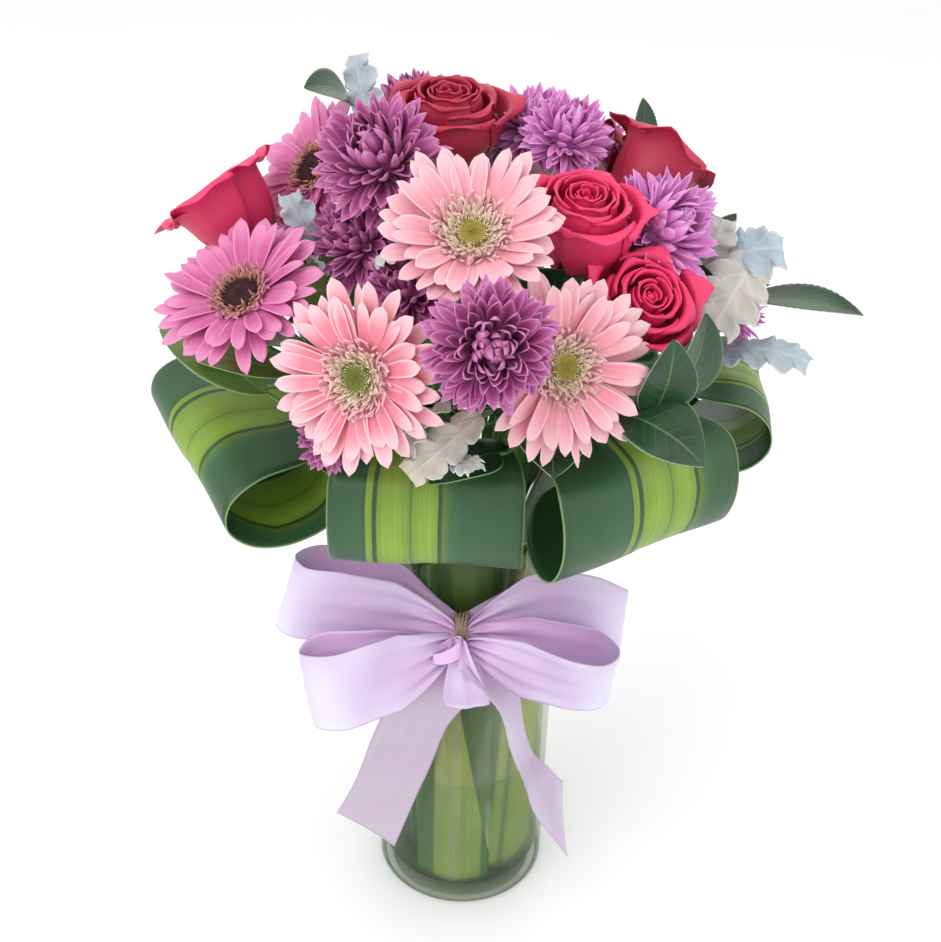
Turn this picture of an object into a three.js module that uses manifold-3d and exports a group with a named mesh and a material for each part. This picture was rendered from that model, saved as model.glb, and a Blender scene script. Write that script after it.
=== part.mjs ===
// A hand-tied bunch of gerberas, roses and chrysanthemums in a clear glass cylinder vase.
// Millimetres, +Z up, origin at the centre of the vase's flat bottom, -Y towards the front.

import * as THREE from 'three';
import Module from 'manifold-3d';
import { mergeVertices } from 'three/addons/utils/BufferGeometryUtils.js';

const wasm = await Module();
wasm.setup();

// ---------------------------------------------------------------- driving dimensions

const VASE_RADIUS = 60;
const VASE_HEIGHT = 300;
const GLASS = 4;
const GLASS_FLOOR = 14;
const WATER_LEVEL = 107;
const VASE_SIDES = 32;
const WATER_SIDES = 24;
const GAP = 0.3;

const LEAF_THICKNESS = 1.2;
const PETAL_THICKNESS = 1.4;
const RIBBON_WIDTH = 50;
const RIBBON_THICKNESS = 1.0;
const TIE_HEIGHT = 250;

const GERBERA_STEM = 2.8;
const ROSE_STEM = 3.0;
const SPRAY_STEM = 2.4;
const TWIG = 1.8;
const LEAFY_STEM = 2;
const LEAF_STALK = 1.5;

// Turn is the direction a flower faces, from the front (0) round to the right (+90).
// Lift is how far it looks up from level, both in degrees.
const GERBERAS = [
  { name: 'left_front', at: [-55, -139, 452], turn: -22, lift: 14, radius: 49, cup: 4, colour: 'coral' },
  { name: 'top_front', at: [-2, -100, 514], turn: -2, lift: 48, radius: 48, cup: 22, colour: 'coral' },
  { name: 'right_front', at: [40, -120, 450], turn: 18, lift: 20, radius: 50, cup: 5, colour: 'coral' },
  { name: 'left_side', at: [-127, -64, 464], turn: -24, lift: 57, radius: 48, cup: 3, colour: 'orchid' },
  { name: 'left_top', at: [-97, 28, 508], turn: -50, lift: 34, radius: 46, cup: 8, colour: 'orchid' },
  { name: 'back', at: [60, 118, 480], turn: 152, lift: 32, radius: 48, cup: 8, colour: 'coral' },
];

const ROSES = [
  { name: 'left', at: [-152, 2, 501], turn: -72, lift: 60, radius: 33, colour: 'pink' },
  { name: 'top', at: [-18, 24, 555], turn: 0, lift: 76, radius: 35, colour: 'red' },
  { name: 'right_top', at: [56, -62, 523], turn: 10, lift: 56, radius: 33, colour: 'pink' },
  { name: 'right_side', at: [106, 19, 529], turn: 80, lift: 58, radius: 33, colour: 'red' },
  { name: 'right_low', at: [91, -81, 477], turn: 26, lift: 40, radius: 32, colour: 'pink' },
  { name: 'back', at: [-62, 122, 486], turn: -155, lift: 40, radius: 32, colour: 'red' },
];

// Chrysanthemum heads by the branching stem that they grow on.
const MUM_SPRAYS = [
  { name: 'left_centre', fork: [-40, -33, 440], heads: [
    { name: 'left_centre', at: [-52, -45, 535], turn: -20, lift: 42, radius: 36, colour: 'plum', full: true },
    { name: 'left_inner', at: [-64, -39, 488], turn: -40, lift: 40, radius: 29, colour: 'plum', full: true },
    { name: 'centre_low', at: [-36, -75, 474], turn: -20, lift: 40, radius: 26, colour: 'plum' },
    { name: 'left_outer', at: [-103, -19, 469], turn: -60, lift: 40, radius: 25, colour: 'plum' },
  ] },
  { name: 'front', fork: [-16, -46, 392], heads: [
    { name: 'front', at: [7, -162, 481], turn: 4, lift: 18, radius: 33, colour: 'plum', full: true },
    { name: 'low_left', at: [-75, -110, 403], turn: -35, lift: 10, radius: 20, colour: 'plum' },
  ] },
  { name: 'top', fork: [26, 22, 470], heads: [
    { name: 'top', at: [29, 50, 545], turn: 10, lift: 70, radius: 27, colour: 'lilac', full: true },
    { name: 'top_right', at: [48, 7, 537], turn: 20, lift: 60, radius: 27, colour: 'lilac', full: true },
    { name: 'top_outer', at: [72, 48, 531], turn: 60, lift: 55, radius: 20, colour: 'lilac' },
  ] },
  { name: 'right', fork: [60, 6, 380], heads: [
    { name: 'right', at: [98, -30, 496], turn: 45, lift: 36, radius: 34, colour: 'lilac', full: true },
    { name: 'right_edge', at: [153, 13, 435], turn: 80, lift: 25, radius: 25, colour: 'lilac' },
    { name: 'back_right', at: [124, 74, 470], turn: 120, lift: 28, radius: 29, colour: 'lilac', full: true },
  ] },
  { name: 'back', fork: [-30, 62, 420], heads: [
    { name: 'top_back', at: [-46, 78, 541], turn: -20, lift: 70, radius: 26, colour: 'plum' },
    { name: 'back_left', at: [-118, 66, 462], turn: -118, lift: 28, radius: 29, colour: 'plum', full: true },
    { name: 'back_centre', at: [0, 128, 500], turn: 180, lift: 40, radius: 28, colour: 'plum', full: true },
  ] },
];

// Each leafy stem: the leaves run from base to tip, half as wide as width, bulging by arch towards
// their upper side, which looks along face [turn, lift].
const SILVER_SPRAYS = [
  { name: 'left', foot: 293, fork: [293, 44, 400], leaves: [
    { base: [-61, 21, 530], tip: [-72, 25, 576], width: 24, arch: 3, face: [-30, 30] },
    { base: [-86, -24, 474], tip: [-104, -40, 514], width: 22, arch: 3, face: [-20, 30] },
    { base: [-84, -34, 466], tip: [-91, -54, 486], width: 16, arch: 2, face: [-30, 20] },
    { base: [-52, -66, 488], tip: [-34, -97, 506], width: 22, arch: 3, face: [10, 50] },
  ] },
  { name: 'front', foot: 352, fork: [352, 51, 386], leaves: [
    { base: [4, -128, 424], tip: [-32, -158, 398], width: 30, arch: 6, face: [10, 40] },
    { base: [-14, -122, 432], tip: [-34, -150, 416], width: 18, arch: 3, face: [-60, 30] },
    { base: [-9, -132, 404], tip: [6, -157, 411], width: 20, arch: 2, face: [5, 60] },
  ] },
  { name: 'right', foot: 74, fork: [76, 50, 404], leaves: [
    { base: [134, 10, 468], tip: [181, -4, 490], width: 38, arch: 5, face: [10, 55] },
    { base: [132, 8, 474], tip: [142, 4, 506], width: 20, arch: 3, face: [10, 20] },
    { base: [160, 2, 471], tip: [135, -42, 446], width: 38, arch: 6, face: [30, 60] },
    { base: [146, -8, 409], tip: [198, -40, 418], width: 26, arch: 7, face: [20, 60] },
  ] },
];

const FOLIAGE_SPRAYS = [
  { name: 'left', foot: 321, fork: [321, 49, 386], leaves: [
    { base: [-118, -60, 404], tip: [-184, -28, 428], width: 30, arch: 8, face: [-50, 55] },
    { base: [-104, -84, 400], tip: [-158, -84, 398], width: 26, arch: 6, face: [-50, 65] },
  ] },
  { name: 'right_back', foot: 131, fork: [128, 50, 388], leaves: [
    { base: [172, 36, 465], tip: [223, -30, 457], width: 25, arch: 5, face: [10, 65] },
    { base: [97, 55, 512], tip: [101, 64, 546], width: 22, arch: 3, face: [60, 20] },
    { base: [136, 31, 474], tip: [160, 35, 496], width: 18, arch: 3, face: [60, 30] },
  ] },
  { name: 'right_front', foot: 44, fork: [44, 50, 386], leaves: [
    { base: [96, -100, 418], tip: [103, -106, 464], width: 34, arch: 6, face: [20, 5] },
    { base: [106, -84, 416], tip: [122, -84, 470], width: 42, arch: 6, face: [45, 5] },
    { base: [78, -104, 420], tip: [122, -129, 402], width: 44, arch: 7, face: [35, 45] },
    { base: [40, -110, 404], tip: [42, -146, 402], width: 36, arch: 6, face: [15, 70] },
    { base: [14, -98, 390], tip: [-22, -134, 390], width: 34, arch: 4, face: [-10, 70] },
  ] },
  { name: 'back', foot: 170, fork: [170, 50, 386], leaves: [
    { base: [-76, 44, 544], tip: [-100, 12, 560], width: 30, arch: 5, face: [-20, 40] },
    { base: [-20, 110, 410], tip: [-60, 150, 404], width: 40, arch: 8, face: [200, 60] },
    { base: [20, 112, 414], tip: [40, 160, 410], width: 42, arch: 8, face: [170, 60] },
    { base: [84, 92, 408], tip: [128, 112, 398], width: 38, arch: 8, face: [130, 60] },
    { base: [-84, 88, 408], tip: [-136, 96, 400], width: 38, arch: 8, face: [235, 60] },
  ] },
];

// The collar of rolled strap leaves. Each leaf's foot stands inside the vase's mouth at its turn.
// The roll's middle is at centre and its outer side looks along yaw; tilt is how much its right
// end, seen from outside, rises above the left one, and droop turns the roll's outer side down.
const LEAF_LOOPS = [
  { name: 'front', turn: -12, centre: [-24, -89, 349], yaw: -2, depth: 50, height: 64, width: 110, tilt: 0, droop: 0 },
  { name: 'right_front', turn: 46, centre: [90, -79, 354], yaw: 31, depth: 50, height: 63, width: 120, tilt: 8,
    droop: 0 },
  { name: 'right', turn: 100, centre: [157, 4, 364], yaw: 88, depth: 56, height: 58, width: 76, tilt: 0, droop: 6 },
  { name: 'back_right', turn: 152, centre: [70, 108, 352], yaw: 148, depth: 52, height: 62, width: 106, tilt: 0,
    droop: 0 },
  { name: 'back_left', turn: 208, centre: [-64, 110, 352], yaw: 210, depth: 52, height: 62, width: 106, tilt: 0,
    droop: 0 },
  { name: 'left', turn: 290, centre: [-137, -25, 350], yaw: -57, depth: 63, height: 56, width: 106, tilt: -32,
    droop: 16 },
];

const LINERS = [
  { name: 'front', turn: 2, span: 56, inset: 0, bottom: 22, top: 292, lean: 0 },
  { name: 'right', turn: 62, span: 58, inset: 2.2, bottom: 30, top: 290, lean: -16 },
  { name: 'back', turn: 196, span: 130, inset: 0, bottom: 26, top: 290, lean: 0 },
];

const COLOURS = {
  coral: 0xf48f96,
  orchid: 0xe070b4,
  pink: 0xd81b58,
  red: 0xa80a2c,
  plum: 0x8e2a7c,
  lilac: 0xb052ac,
  cream: 0xe6d3a0,
  brown: 0x4a1c26,
  green: 0x4f8a3c,
  silver: 0xc2ccc8,
  leaf: 0x2c6b38,
};

// ---------------------------------------------------------------- general helpers

const UP = new THREE.Vector3(0, 0, 1);
const { degToRad, lerp, clamp } = THREE.MathUtils;
const vec = (x, y, z) => new THREE.Vector3(x, y, z);

// The same run of numbers between 0 and 1 for the same seed.
function seeded(seed) {
  let state = seed * 7919 + 17;
  return () => {
    state = (state * 16807) % 2147483647;
    return state / 2147483647;
  };
}

// The level direction of a turn, seen from the vase's axis.
const outward = (turn) => vec(Math.sin(degToRad(turn)), -Math.cos(degToRad(turn)), 0);
const around = (turn, radius, z) => outward(turn).multiplyScalar(radius).setZ(z);
const turnOf = (point) => THREE.MathUtils.radToDeg(Math.atan2(point.x, -point.y));
const reach = (point) => Math.hypot(point.x, point.y);

function direction(turn, lift) {
  return outward(turn).multiplyScalar(Math.cos(degToRad(lift))).setZ(Math.sin(degToRad(lift)));
}

// A frame whose +Z looks along turn and lift, for a head and its calyx.
function facing(at, turn, lift) {
  const z = direction(turn, lift);
  const x = vec().crossVectors(UP, z).normalize();
  const y = vec().crossVectors(z, x);
  return new THREE.Matrix4().makeBasis(x, y, z).setPosition(...at);
}

function solid(vertices, triangles) {
  const vertProperties = new Float32Array(vertices.flatMap((v) => v.toArray()));
  const make = (faces) =>
    new wasm.Manifold(new wasm.Mesh({ numProp: 3, vertProperties, triVerts: new Uint32Array(faces.flat()) }));
  const made = make(triangles);
  return made.volume() > 0 ? made : make(triangles.map(([a, b, c]) => [a, c, b]));
}

function solidOf(geometry, matrix) {
  const bare = geometry.index ? geometry.toNonIndexed() : geometry.clone();
  bare.deleteAttribute('normal');
  bare.deleteAttribute('uv');
  if (matrix) bare.applyMatrix4(matrix);
  const merged = mergeVertices(bare, 1e-3);
  const place = merged.attributes.position;
  const vertices = Array.from({ length: place.count }, (_, i) => vec().fromBufferAttribute(place, i));
  const triangles = [];
  for (let i = 0; i < merged.index.count; i += 3) {
    const [a, b, c] = [0, 1, 2].map((k) => merged.index.getX(i + k));
    if (a !== b && b !== c && c !== a) triangles.push([a, b, c]);
  }
  return solid(vertices, triangles);
}

function lathe(profile, sides, matrix) {
  const points = profile.map(([r, z]) => new THREE.Vector2(r, z));
  const standing = new THREE.Matrix4().makeRotationX(Math.PI / 2);
  const geometry = new THREE.LatheGeometry(points, sides).applyMatrix4(standing);
  return solidOf(geometry, matrix);
}

const fuse = (bodies) => wasm.Manifold.union(bodies);

// The largest body of a cut piece: loose scraps are dropped.
function largest(body) {
  const bodies = body.decompose();
  return bodies.reduce((best, each) => (each.volume() > best.volume() ? each : best));
}

// A round rod along a curve, from its foot up.
function rod(points, thickness, steps, grow = 0, sides = 5) {
  const radius = thickness + grow;
  const outline = new THREE.Shape();
  for (let i = 0; i < sides; i += 1) {
    const a = (2 * Math.PI * i) / sides;
    if (i === 0) outline.moveTo(radius * Math.cos(a), radius * Math.sin(a));
    else outline.lineTo(radius * Math.cos(a), radius * Math.sin(a));
  }
  outline.closePath();
  const start = points[0].clone().add(vec(0, 0, -grow));
  const extrudePath = new THREE.CatmullRomCurve3([start, ...points.slice(1)], false, 'centripetal');
  return solidOf(new THREE.ExtrudeGeometry(outline, { steps, extrudePath, bevelEnabled: false }));
}

// A closed body of rings of points, each turned half a step from the one below. A petal is drawn
// out of each triangle that has its edge on the upper ring of a row: flat above, keeled below and
// pointed. Rings are [radius, height] from the bottom up, and a row's petals are given by their
// stations [distance out, height, half width], the last one being the tip. Grow thickens it all.
function crown(frame, count, rings, floor, roof, rows, grow = 0, thickness = PETAL_THICKNESS) {
  const vertices = [];
  const triangles = [];
  const put = (v) => vertices.push(v.applyMatrix4(frame)) - 1;
  const polar = (angle, r, z) => vec(r * Math.cos(angle), r * Math.sin(angle), z);
  const level = rings.map(([r, z], k) => Array.from({ length: count }, (_, j) =>
    put(polar((2 * Math.PI * (j + 0.5 * (k % 2))) / count, r + grow, z))));
  const bottom = put(vec(0, 0, floor - grow));
  const top = put(vec(0, 0, roof + grow));
  const summit = level[rings.length - 1];
  for (let j = 0; j < count; j += 1) {
    const next = (j + 1) % count;
    triangles.push([bottom, level[0][next], level[0][j]], [top, summit[j], summit[next]]);
  }
  for (let k = 0; k + 1 < rings.length; k += 1) {
    const odd = k % 2;
    for (let j = 0; j < count; j += 1) {
      const next = (j + 1) % count;
      const low = level[k];
      const high = level[k + 1];
      triangles.push(odd ? [low[j], low[next], high[next]] : [low[j], low[next], high[j]]);
      const cell = odd ? [low[j], high[next], high[j]] : [low[next], high[next], high[j]];
      const stations = rows[k] && rows[k](j);
      if (!stations) {
        triangles.push(cell);
        continue;
      }
      const angle = (2 * Math.PI * (j + (odd ? 0.5 : 1))) / count;
      const side = vec(-Math.sin(angle), Math.cos(angle), 0);
      let ring = cell;
      stations.forEach((station, i) => {
        const before = stations[Math.max(i - 1, 0)];
        const after = stations[Math.min(i + 1, stations.length - 1)];
        const along = vec(Math.cos(angle) * (after[0] - before[0]), Math.sin(angle) * (after[0] - before[0]),
          after[1] - before[1]).normalize();
        const normal = vec().crossVectors(along, side).normalize();
        const middle = polar(angle, station[0], station[1]);
        if (i === stations.length - 1) {
          const tip = put(middle.addScaledVector(along, grow));
          ring.forEach((a, m) => triangles.push([a, ring[(m + 1) % 3], tip]));
          return;
        }
        const half = station[2] + grow;
        const outer = [
          put(middle.clone().addScaledVector(normal, -thickness - grow)),
          put(middle.clone().addScaledVector(side, half).addScaledVector(normal, grow)),
          put(middle.clone().addScaledVector(side, -half).addScaledVector(normal, grow)),
        ];
        ring.forEach((a, m) => {
          const b = (m + 1) % 3;
          triangles.push([a, ring[b], outer[b]], [a, outer[b], outer[m]]);
        });
        ring = outer;
      });
    }
  }
  return solid(vertices, triangles);
}

// A closed body of rings of points one above another, from the bottom's middle to the top's.
function stack(frame, rings) {
  const count = rings[1].length;
  const vertices = [];
  const triangles = [];
  rings.forEach((ring) => ring.forEach((v) => vertices.push(v.clone().applyMatrix4(frame))));
  const start = (k) => (k === 0 ? 0 : 1 + (k - 1) * count);
  const last = rings.length - 1;
  for (let j = 0; j < count; j += 1) {
    const next = (j + 1) % count;
    triangles.push([0, start(1) + next, start(1) + j]);
    triangles.push([start(last), start(last - 1) + j, start(last - 1) + next]);
    for (let k = 1; k + 1 < last; k += 1) {
      const [a, b, c, d] = [start(k) + j, start(k) + next, start(k + 1) + next, start(k + 1) + j];
      triangles.push([a, b, c], [a, c, d]);
    }
  }
  return solid(vertices, triangles);
}

// A thin body round the surface place(u, v), u from 0 to 1 along it and v from -1 to 1 across,
// split into the same triangles on both faces.
function sheet(place, lengthwise, across, thickness, grow = 0) {
  const rows = [];
  for (let i = 0; i <= lengthwise; i += 1) {
    const row = [];
    for (let j = 0; j <= across; j += 1) row.push(place(i / lengthwise, (2 * j) / across - 1));
    rows.push(row);
  }
  const at = (i, j) => rows[clamp(i, 0, lengthwise)][clamp(j, 0, across)];
  const top = [];
  const bottom = [];
  for (let i = 0; i <= lengthwise; i += 1) {
    for (let j = 0; j <= across; j += 1) {
      const along = at(i + 1, j).clone().sub(at(i - 1, j));
      const over = at(i, j + 1).clone().sub(at(i, j - 1));
      const normal = vec().crossVectors(along, over).normalize();
      const point = at(i, j).clone();
      if (grow && (i === 0 || i === lengthwise)) {
        point.addScaledVector(along.normalize(), i ? grow : -grow);
      }
      if (grow && (j === 0 || j === across)) point.addScaledVector(over.normalize(), j ? grow : -grow);
      top.push(point.clone().addScaledVector(normal, thickness / 2 + grow));
      bottom.push(point.clone().addScaledVector(normal, -thickness / 2 - grow));
    }
  }
  const index = (i, j) => i * (across + 1) + j;
  const under = top.length;
  const triangles = [];
  for (let i = 0; i < lengthwise; i += 1) {
    for (let j = 0; j < across; j += 1) {
      const [a, b, c, d] = [index(i, j), index(i + 1, j), index(i + 1, j + 1), index(i, j + 1)];
      triangles.push([a, b, c], [a, c, d], [under + a, under + c, under + b], [under + a, under + d, under + c]);
    }
  }
  const edge = [];
  for (let i = 0; i < lengthwise; i += 1) edge.push(index(i, 0));
  for (let j = 0; j < across; j += 1) edge.push(index(lengthwise, j));
  for (let i = lengthwise; i > 0; i -= 1) edge.push(index(i, across));
  for (let j = across; j > 0; j -= 1) edge.push(index(0, j));
  edge.forEach((a, k) => {
    const b = edge[(k + 1) % edge.length];
    triangles.push([a, under + b, b], [a, under + a, under + b]);
  });
  return solid([...top, ...bottom], triangles);
}

// ---------------------------------------------------------------- heads, in their own frames

const GERBERA_PETALS = 14;
const HUB_TOP = 2.2;
const HUB_RADIUS = 12.5;

function gerberaPetals({ radius, cup }, frame, seed, grow) {
  const random = seeded(seed);
  const rise = Math.tan(degToRad(cup));
  const layer = (length, base, lift, half) => () => {
    const tip = length * (0.94 + 0.06 * random());
    const height = (r) => base + lift * (r - HUB_RADIUS) - 0.0012 * (r - HUB_RADIUS) ** 2;
    return [[tip * 0.78, height(tip * 0.78), half], [tip, height(tip) - 0.5, 0]];
  };
  const rows = [
    layer(radius, -0.6, rise, 5.8),
    layer(radius * 0.83, 1.2, rise + 0.15, 5.2),
    () => [[20, 7 + 8 * rise, 0]],
  ];
  const rings = [[8, -4.5 - grow], [HUB_RADIUS, -1.2], [HUB_RADIUS, 0.8 + 0.4 * grow], [10, HUB_TOP + grow]];
  return crown(frame, GERBERA_PETALS, rings, -7, HUB_TOP, rows, grow);
}

// The button of tiny florets in the middle: a low dome in relief with a dimple.
function gerberaDisc(frame, grow) {
  const count = 10;
  const radius = 8.6 + grow;
  const floor = HUB_TOP + GAP - 0.5 * grow;
  const rings = [
    [radius, floor, 0, 0],
    [radius, floor + 1.6, 0.35, 0.4],
    [radius * 0.6, floor + 3.2, 0.3, 0.5],
  ];
  const vertices = [vec(0, 0, floor), vec(0, 0, floor + 2.2 + grow)];
  const triangles = [];
  rings.forEach(([r, z, wide, high]) => {
    for (let i = 0; i < count; i += 1) {
      const a = (2 * Math.PI * i) / count;
      const swing = i % 2 ? 1 : -1;
      const reachOut = r - wide + wide * swing;
      vertices.push(vec(reachOut * Math.cos(a), reachOut * Math.sin(a), z + high * swing));
    }
  });
  for (let i = 0; i < count; i += 1) {
    const j = (i + 1) % count;
    triangles.push([0, 2 + j, 2 + i], [1, 2 + 2 * count + i, 2 + 2 * count + j]);
    for (const row of [0, 1]) {
      const [a, b] = [2 + row * count + i, 2 + row * count + j];
      triangles.push([a, b, b + count], [a, b + count, a + count]);
    }
  }
  return solid(vertices.map((v) => v.applyMatrix4(frame)), triangles);
}

// Five outer petals curling at the lip round two inner whorls and a bud, with deep folds between.
function roseBloom({ radius }, frame, seed, grow) {
  const random = seeded(seed);
  const count = 12;
  const wobble = Array.from({ length: count }, () => 1 + 0.03 * (random() - 0.5));
  // Rings are [radius, height, petals round it, how far they stand apart, turn].
  const ring = ([r, z, petals = 0, apart = 0, turn = 0]) =>
    Array.from({ length: count }, (_, j) => {
      const along = petals ? (((j + turn) * petals) / count) % 1 : 0.5;
      const bump = petals ? Math.sin(Math.PI * along) : 1;
      const angle = (2 * Math.PI * j) / count;
      const distance = r * radius * wobble[j] * (1 - apart * (1 - bump) + 0.4 * apart * (along - 0.5));
      const height = z - 22 * apart * (1 - bump);
      return vec(distance * Math.cos(angle), distance * Math.sin(angle), height);
    });
  const profile = [
    [0.3, -30 - grow],
    [0.6, -21 - 0.7 * grow],
    [0.76, -9, 5, 0.06],
    [0.99, -2.6, 5, 0.16],
    [0.9, 0.4, 5, 0.16],
    [0.7, -9],
    [0.68, 3, 5, 0.12, 1.5],
    [0.5, -6],
    [0.44, 6, 3, 0.14],
    [0.26, -1],
    [0.18, 7],
  ];
  const grown = profile.map(([r, z, ...rest]) => [r + grow / radius, z + (z > -9 ? grow : 0), ...rest]);
  return stack(frame, [[vec(0, 0, -30 - grow)], ...grown.map(ring), [vec(0, 0, 5 + grow)]]);
}

// A ball of incurved petals in layers round a small core.
const CORE = 0.46;

function mumHead({ radius, full }, frame, seed, grow) {
  const random = seeded(seed);
  const core = radius * CORE;
  const count = full ? 7 : 6;
  const lifts = full ? [4, 27, 48, 68] : [6, 36, 64];
  const rows = lifts.map((lift, k) => () => {
    const tip = radius * (1 - 0.07 * k) * (0.93 + 0.07 * random());
    const low = degToRad(lift);
    const high = degToRad(Math.min(lift + 9, 82));
    const room = (2 * Math.PI * 0.7 * tip * Math.cos(low)) / count;
    if (k === lifts.length - 1) return [[0.9 * tip * Math.cos(high), 0.9 * tip * Math.sin(high), 0]];
    return [
      [0.7 * tip * Math.cos(low), 0.7 * tip * Math.sin(low), Math.min(0.46 * room, 0.21 * radius)],
      [tip * Math.cos(high), tip * Math.sin(high), 0],
    ];
  });
  const latitudes = full ? [-38, -8, 18, 42, 66] : [-38, -4, 30, 62];
  const rings = latitudes.map((angle) => [core * Math.cos(degToRad(angle)), core * Math.sin(degToRad(angle))]);
  return crown(frame, count, rings, -0.8 * core, core, rows, grow);
}

// ---------------------------------------------------------------- stems

// The green cup under a gerbera follows the underside of its hub.
const GERBERA_CALYX = [[0, -13.5], [3.4, -13], [8.2, -6.6], [7.6, -5], [0, -7.6]];
const HIP_RINGS = [[4, -40], [7, -35], [7.4, -30.4]];
const SEPAL = [[12, -37.5, 2.4], [18, -43, 0]];

// From the vase's floor through its mouth and up inside the collar to the back of a head.
function stemPoints(footRadius, footTurn, head, behind) {
  const axis = direction(head.turn, head.lift);
  const end = vec(...head.at).addScaledVector(axis, -behind);
  const near = end.clone().addScaledVector(axis, -16).add(vec(0, 0, -12));
  const gather = clamp(0.42 * reach(near), 8, 44);
  const bend = clamp(0.55 * reach(near), 10, 50);
  const swing = (turnOf(near) - footTurn + 540) % 360 - 180;
  return [
    around(footTurn, footRadius, GLASS_FLOOR + GAP + 0.05),
    around(footTurn, lerp(footRadius, gather, 0.8), VASE_HEIGHT - 60),
    around(footTurn + 0.6 * swing, bend, 380),
    near,
    end,
  ];
}

function branchPoints(fork, head, behind) {
  const axis = direction(head.turn, head.lift);
  const end = vec(...head.at).addScaledVector(axis, -behind);
  const near = end.clone().addScaledVector(axis, -10).add(vec(0, 0, -5));
  return [fork.clone(), near, end];
}

function gerberaStem(head, footRadius, footTurn, grow) {
  const calyx = lathe(GERBERA_CALYX, 7, facing(head.at, head.turn, head.lift));
  const points = stemPoints(footRadius, footTurn, head, 11);
  return fuse([rod(points, GERBERA_STEM, 5, grow), calyx]);
}

function roseStem(head, footRadius, footTurn, grow) {
  const rows = [() => SEPAL];
  const hip = crown(facing(head.at, head.turn, head.lift), 5, HIP_RINGS, -41, -30.4, rows, grow, 1);
  return fuse([rod(stemPoints(footRadius, footTurn, head, 38), ROSE_STEM, 5, grow), hip]);
}

function sprayStem(heads, footRadius, footTurn, fork, grow) {
  const foot = around(footTurn, footRadius, GLASS_FLOOR + GAP);
  const mouth = around(footTurn, clamp(lerp(footRadius, reach(fork), 0.4), 8, 43), VASE_HEIGHT - 60);
  const twigs = heads.map((head) => rod(branchPoints(fork, head, CORE * 0.8 * head.radius + 0.8), TWIG, 3, grow, 4));
  return fuse([rod([foot, mouth, fork], SPRAY_STEM, 4, grow), ...twigs]);
}

// ---------------------------------------------------------------- leaves

// A leaf from base to tip. Lobes give a deeply waved edge, otherwise it is oval and pointed.
function leafBlade({ base, tip, width, arch, face }, lobes, grow) {
  const from = vec(...base);
  const run = vec(...tip).sub(from);
  const side = vec().crossVectors(direction(...face), run).normalize();
  const normal = vec().crossVectors(run, side).normalize();
  const outline = (u) => {
    if (!lobes) return Math.max(0.07, Math.sin(Math.PI * u ** 0.85) ** 0.75);
    const wave = 0.5 - 0.5 * Math.cos(2 * Math.PI * lobes * u);
    const envelope = Math.sin(Math.PI * (0.06 + 0.84 * u)) ** 0.6;
    return Math.max(0.12, envelope * (0.5 + 0.5 * wave));
  };
  const place = (u, v) => {
    const half = (width / 2) * outline(u);
    const lift = 4 * arch * u * (1 - u) + 0.12 * half * v * v;
    return from.clone().addScaledVector(run, u).addScaledVector(side, v * half).addScaledVector(normal, lift);
  };
  return sheet(place, lobes ? 2 * lobes : 4, 2, LEAF_THICKNESS, grow);
}

// A stem through the vase's mouth that forks to each leaf's base and runs a little into it.
// The fork is at [turn, distance out, height].
function leafySpray({ foot, fork, leaves }, footRadius, lobes, grow) {
  const node = around(...fork);
  const start = around(foot, footRadius, GLASS_FLOOR + GAP);
  const mouth = around(foot, 42, VASE_HEIGHT - 50);
  const bodies = [rod([start, mouth, node], LEAFY_STEM, 4, grow)];
  for (const leaf of leaves) {
    const base = vec(...leaf.base);
    const run = vec(...leaf.tip).sub(base);
    const inside = base.clone().addScaledVector(run, 0.05);
    const lead = run.clone().normalize().add(base.clone().sub(node).normalize()).normalize();
    const near = base.clone().addScaledVector(lead, -0.25 * run.length()).add(vec(0, 0, -4));
    bodies.push(rod([node.clone(), near, inside], LEAF_STALK, 2, grow, 4));
    bodies.push(leafBlade(leaf, lobes, grow));
  }
  return fuse(bodies);
}

// A strap leaf from inside the mouth, over the rim and rolled outwards into a loop.
function leafLoop({ turn, centre, yaw, depth, height, width, tilt, droop }, grow) {
  const middle = vec(...centre);
  const right = outward(yaw + 90);
  const out = outward(yaw).applyAxisAngle(right, degToRad(-droop));
  const up = vec().crossVectors(right, out);
  const [d, h] = [depth / 2, height / 2];
  // Stations of the roll: [out, up, half width] from its middle.
  const roll = [
    [-d, -h, 0.62],
    [-d * 0.2, -h * 1.08, 0.86],
    [d * 0.6, -h * 0.92, 0.98],
    [d * 0.98, -h * 0.35, 1],
    [d * 0.98, h * 0.35, 1],
    [d * 0.55, h * 0.92, 1],
    [-d * 0.2, h * 1.02, 0.97],
    [-d * 0.85, h * 0.55, 0.9],
    [-d * 0.95, -h * 0.1, 0.75],
    [-d * 0.4, -h * 0.6, 0.45],
  ];
  const tongue = [[50.4, 236, 4], [50.4, 272, 14], [51.4, 296, 21], [58, 302.4, 24]];
  const count = tongue.length + roll.length - 1;
  const place = (u, v) => {
    const k = Math.round(u * count);
    if (k < tongue.length) {
      const [r, z, half] = tongue[k];
      return around(turn + THREE.MathUtils.radToDeg((v * half) / r), r, z);
    }
    const [x, z, share] = roll[k - tongue.length];
    const half = (share * width) / 2;
    return middle.clone().addScaledVector(out, x).addScaledVector(up, z).addScaledVector(right, v * half)
      .add(vec(0, 0, (tilt * v * half) / width));
  };
  return sheet(place, count, 2, LEAF_THICKNESS, grow);
}

// A strap leaf that lines the inside of the glass.
function liner({ turn, span, inset, bottom, top, lean }, grow) {
  const radius = VASE_RADIUS - GLASS - 1.3 - inset;
  const steps = Math.round(span / 13);
  const place = (u, v) => {
    const cut = 5 * (1 - Math.abs(v)) * (1 - u);
    const z = lerp(bottom - cut, top - 14 * v * v, u);
    return around(turn + lean * (1 - u) + (v * span) / 2, radius, z);
  };
  return sheet(place, 4, steps, LEAF_THICKNESS, grow);
}

// ---------------------------------------------------------------- bow

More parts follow.
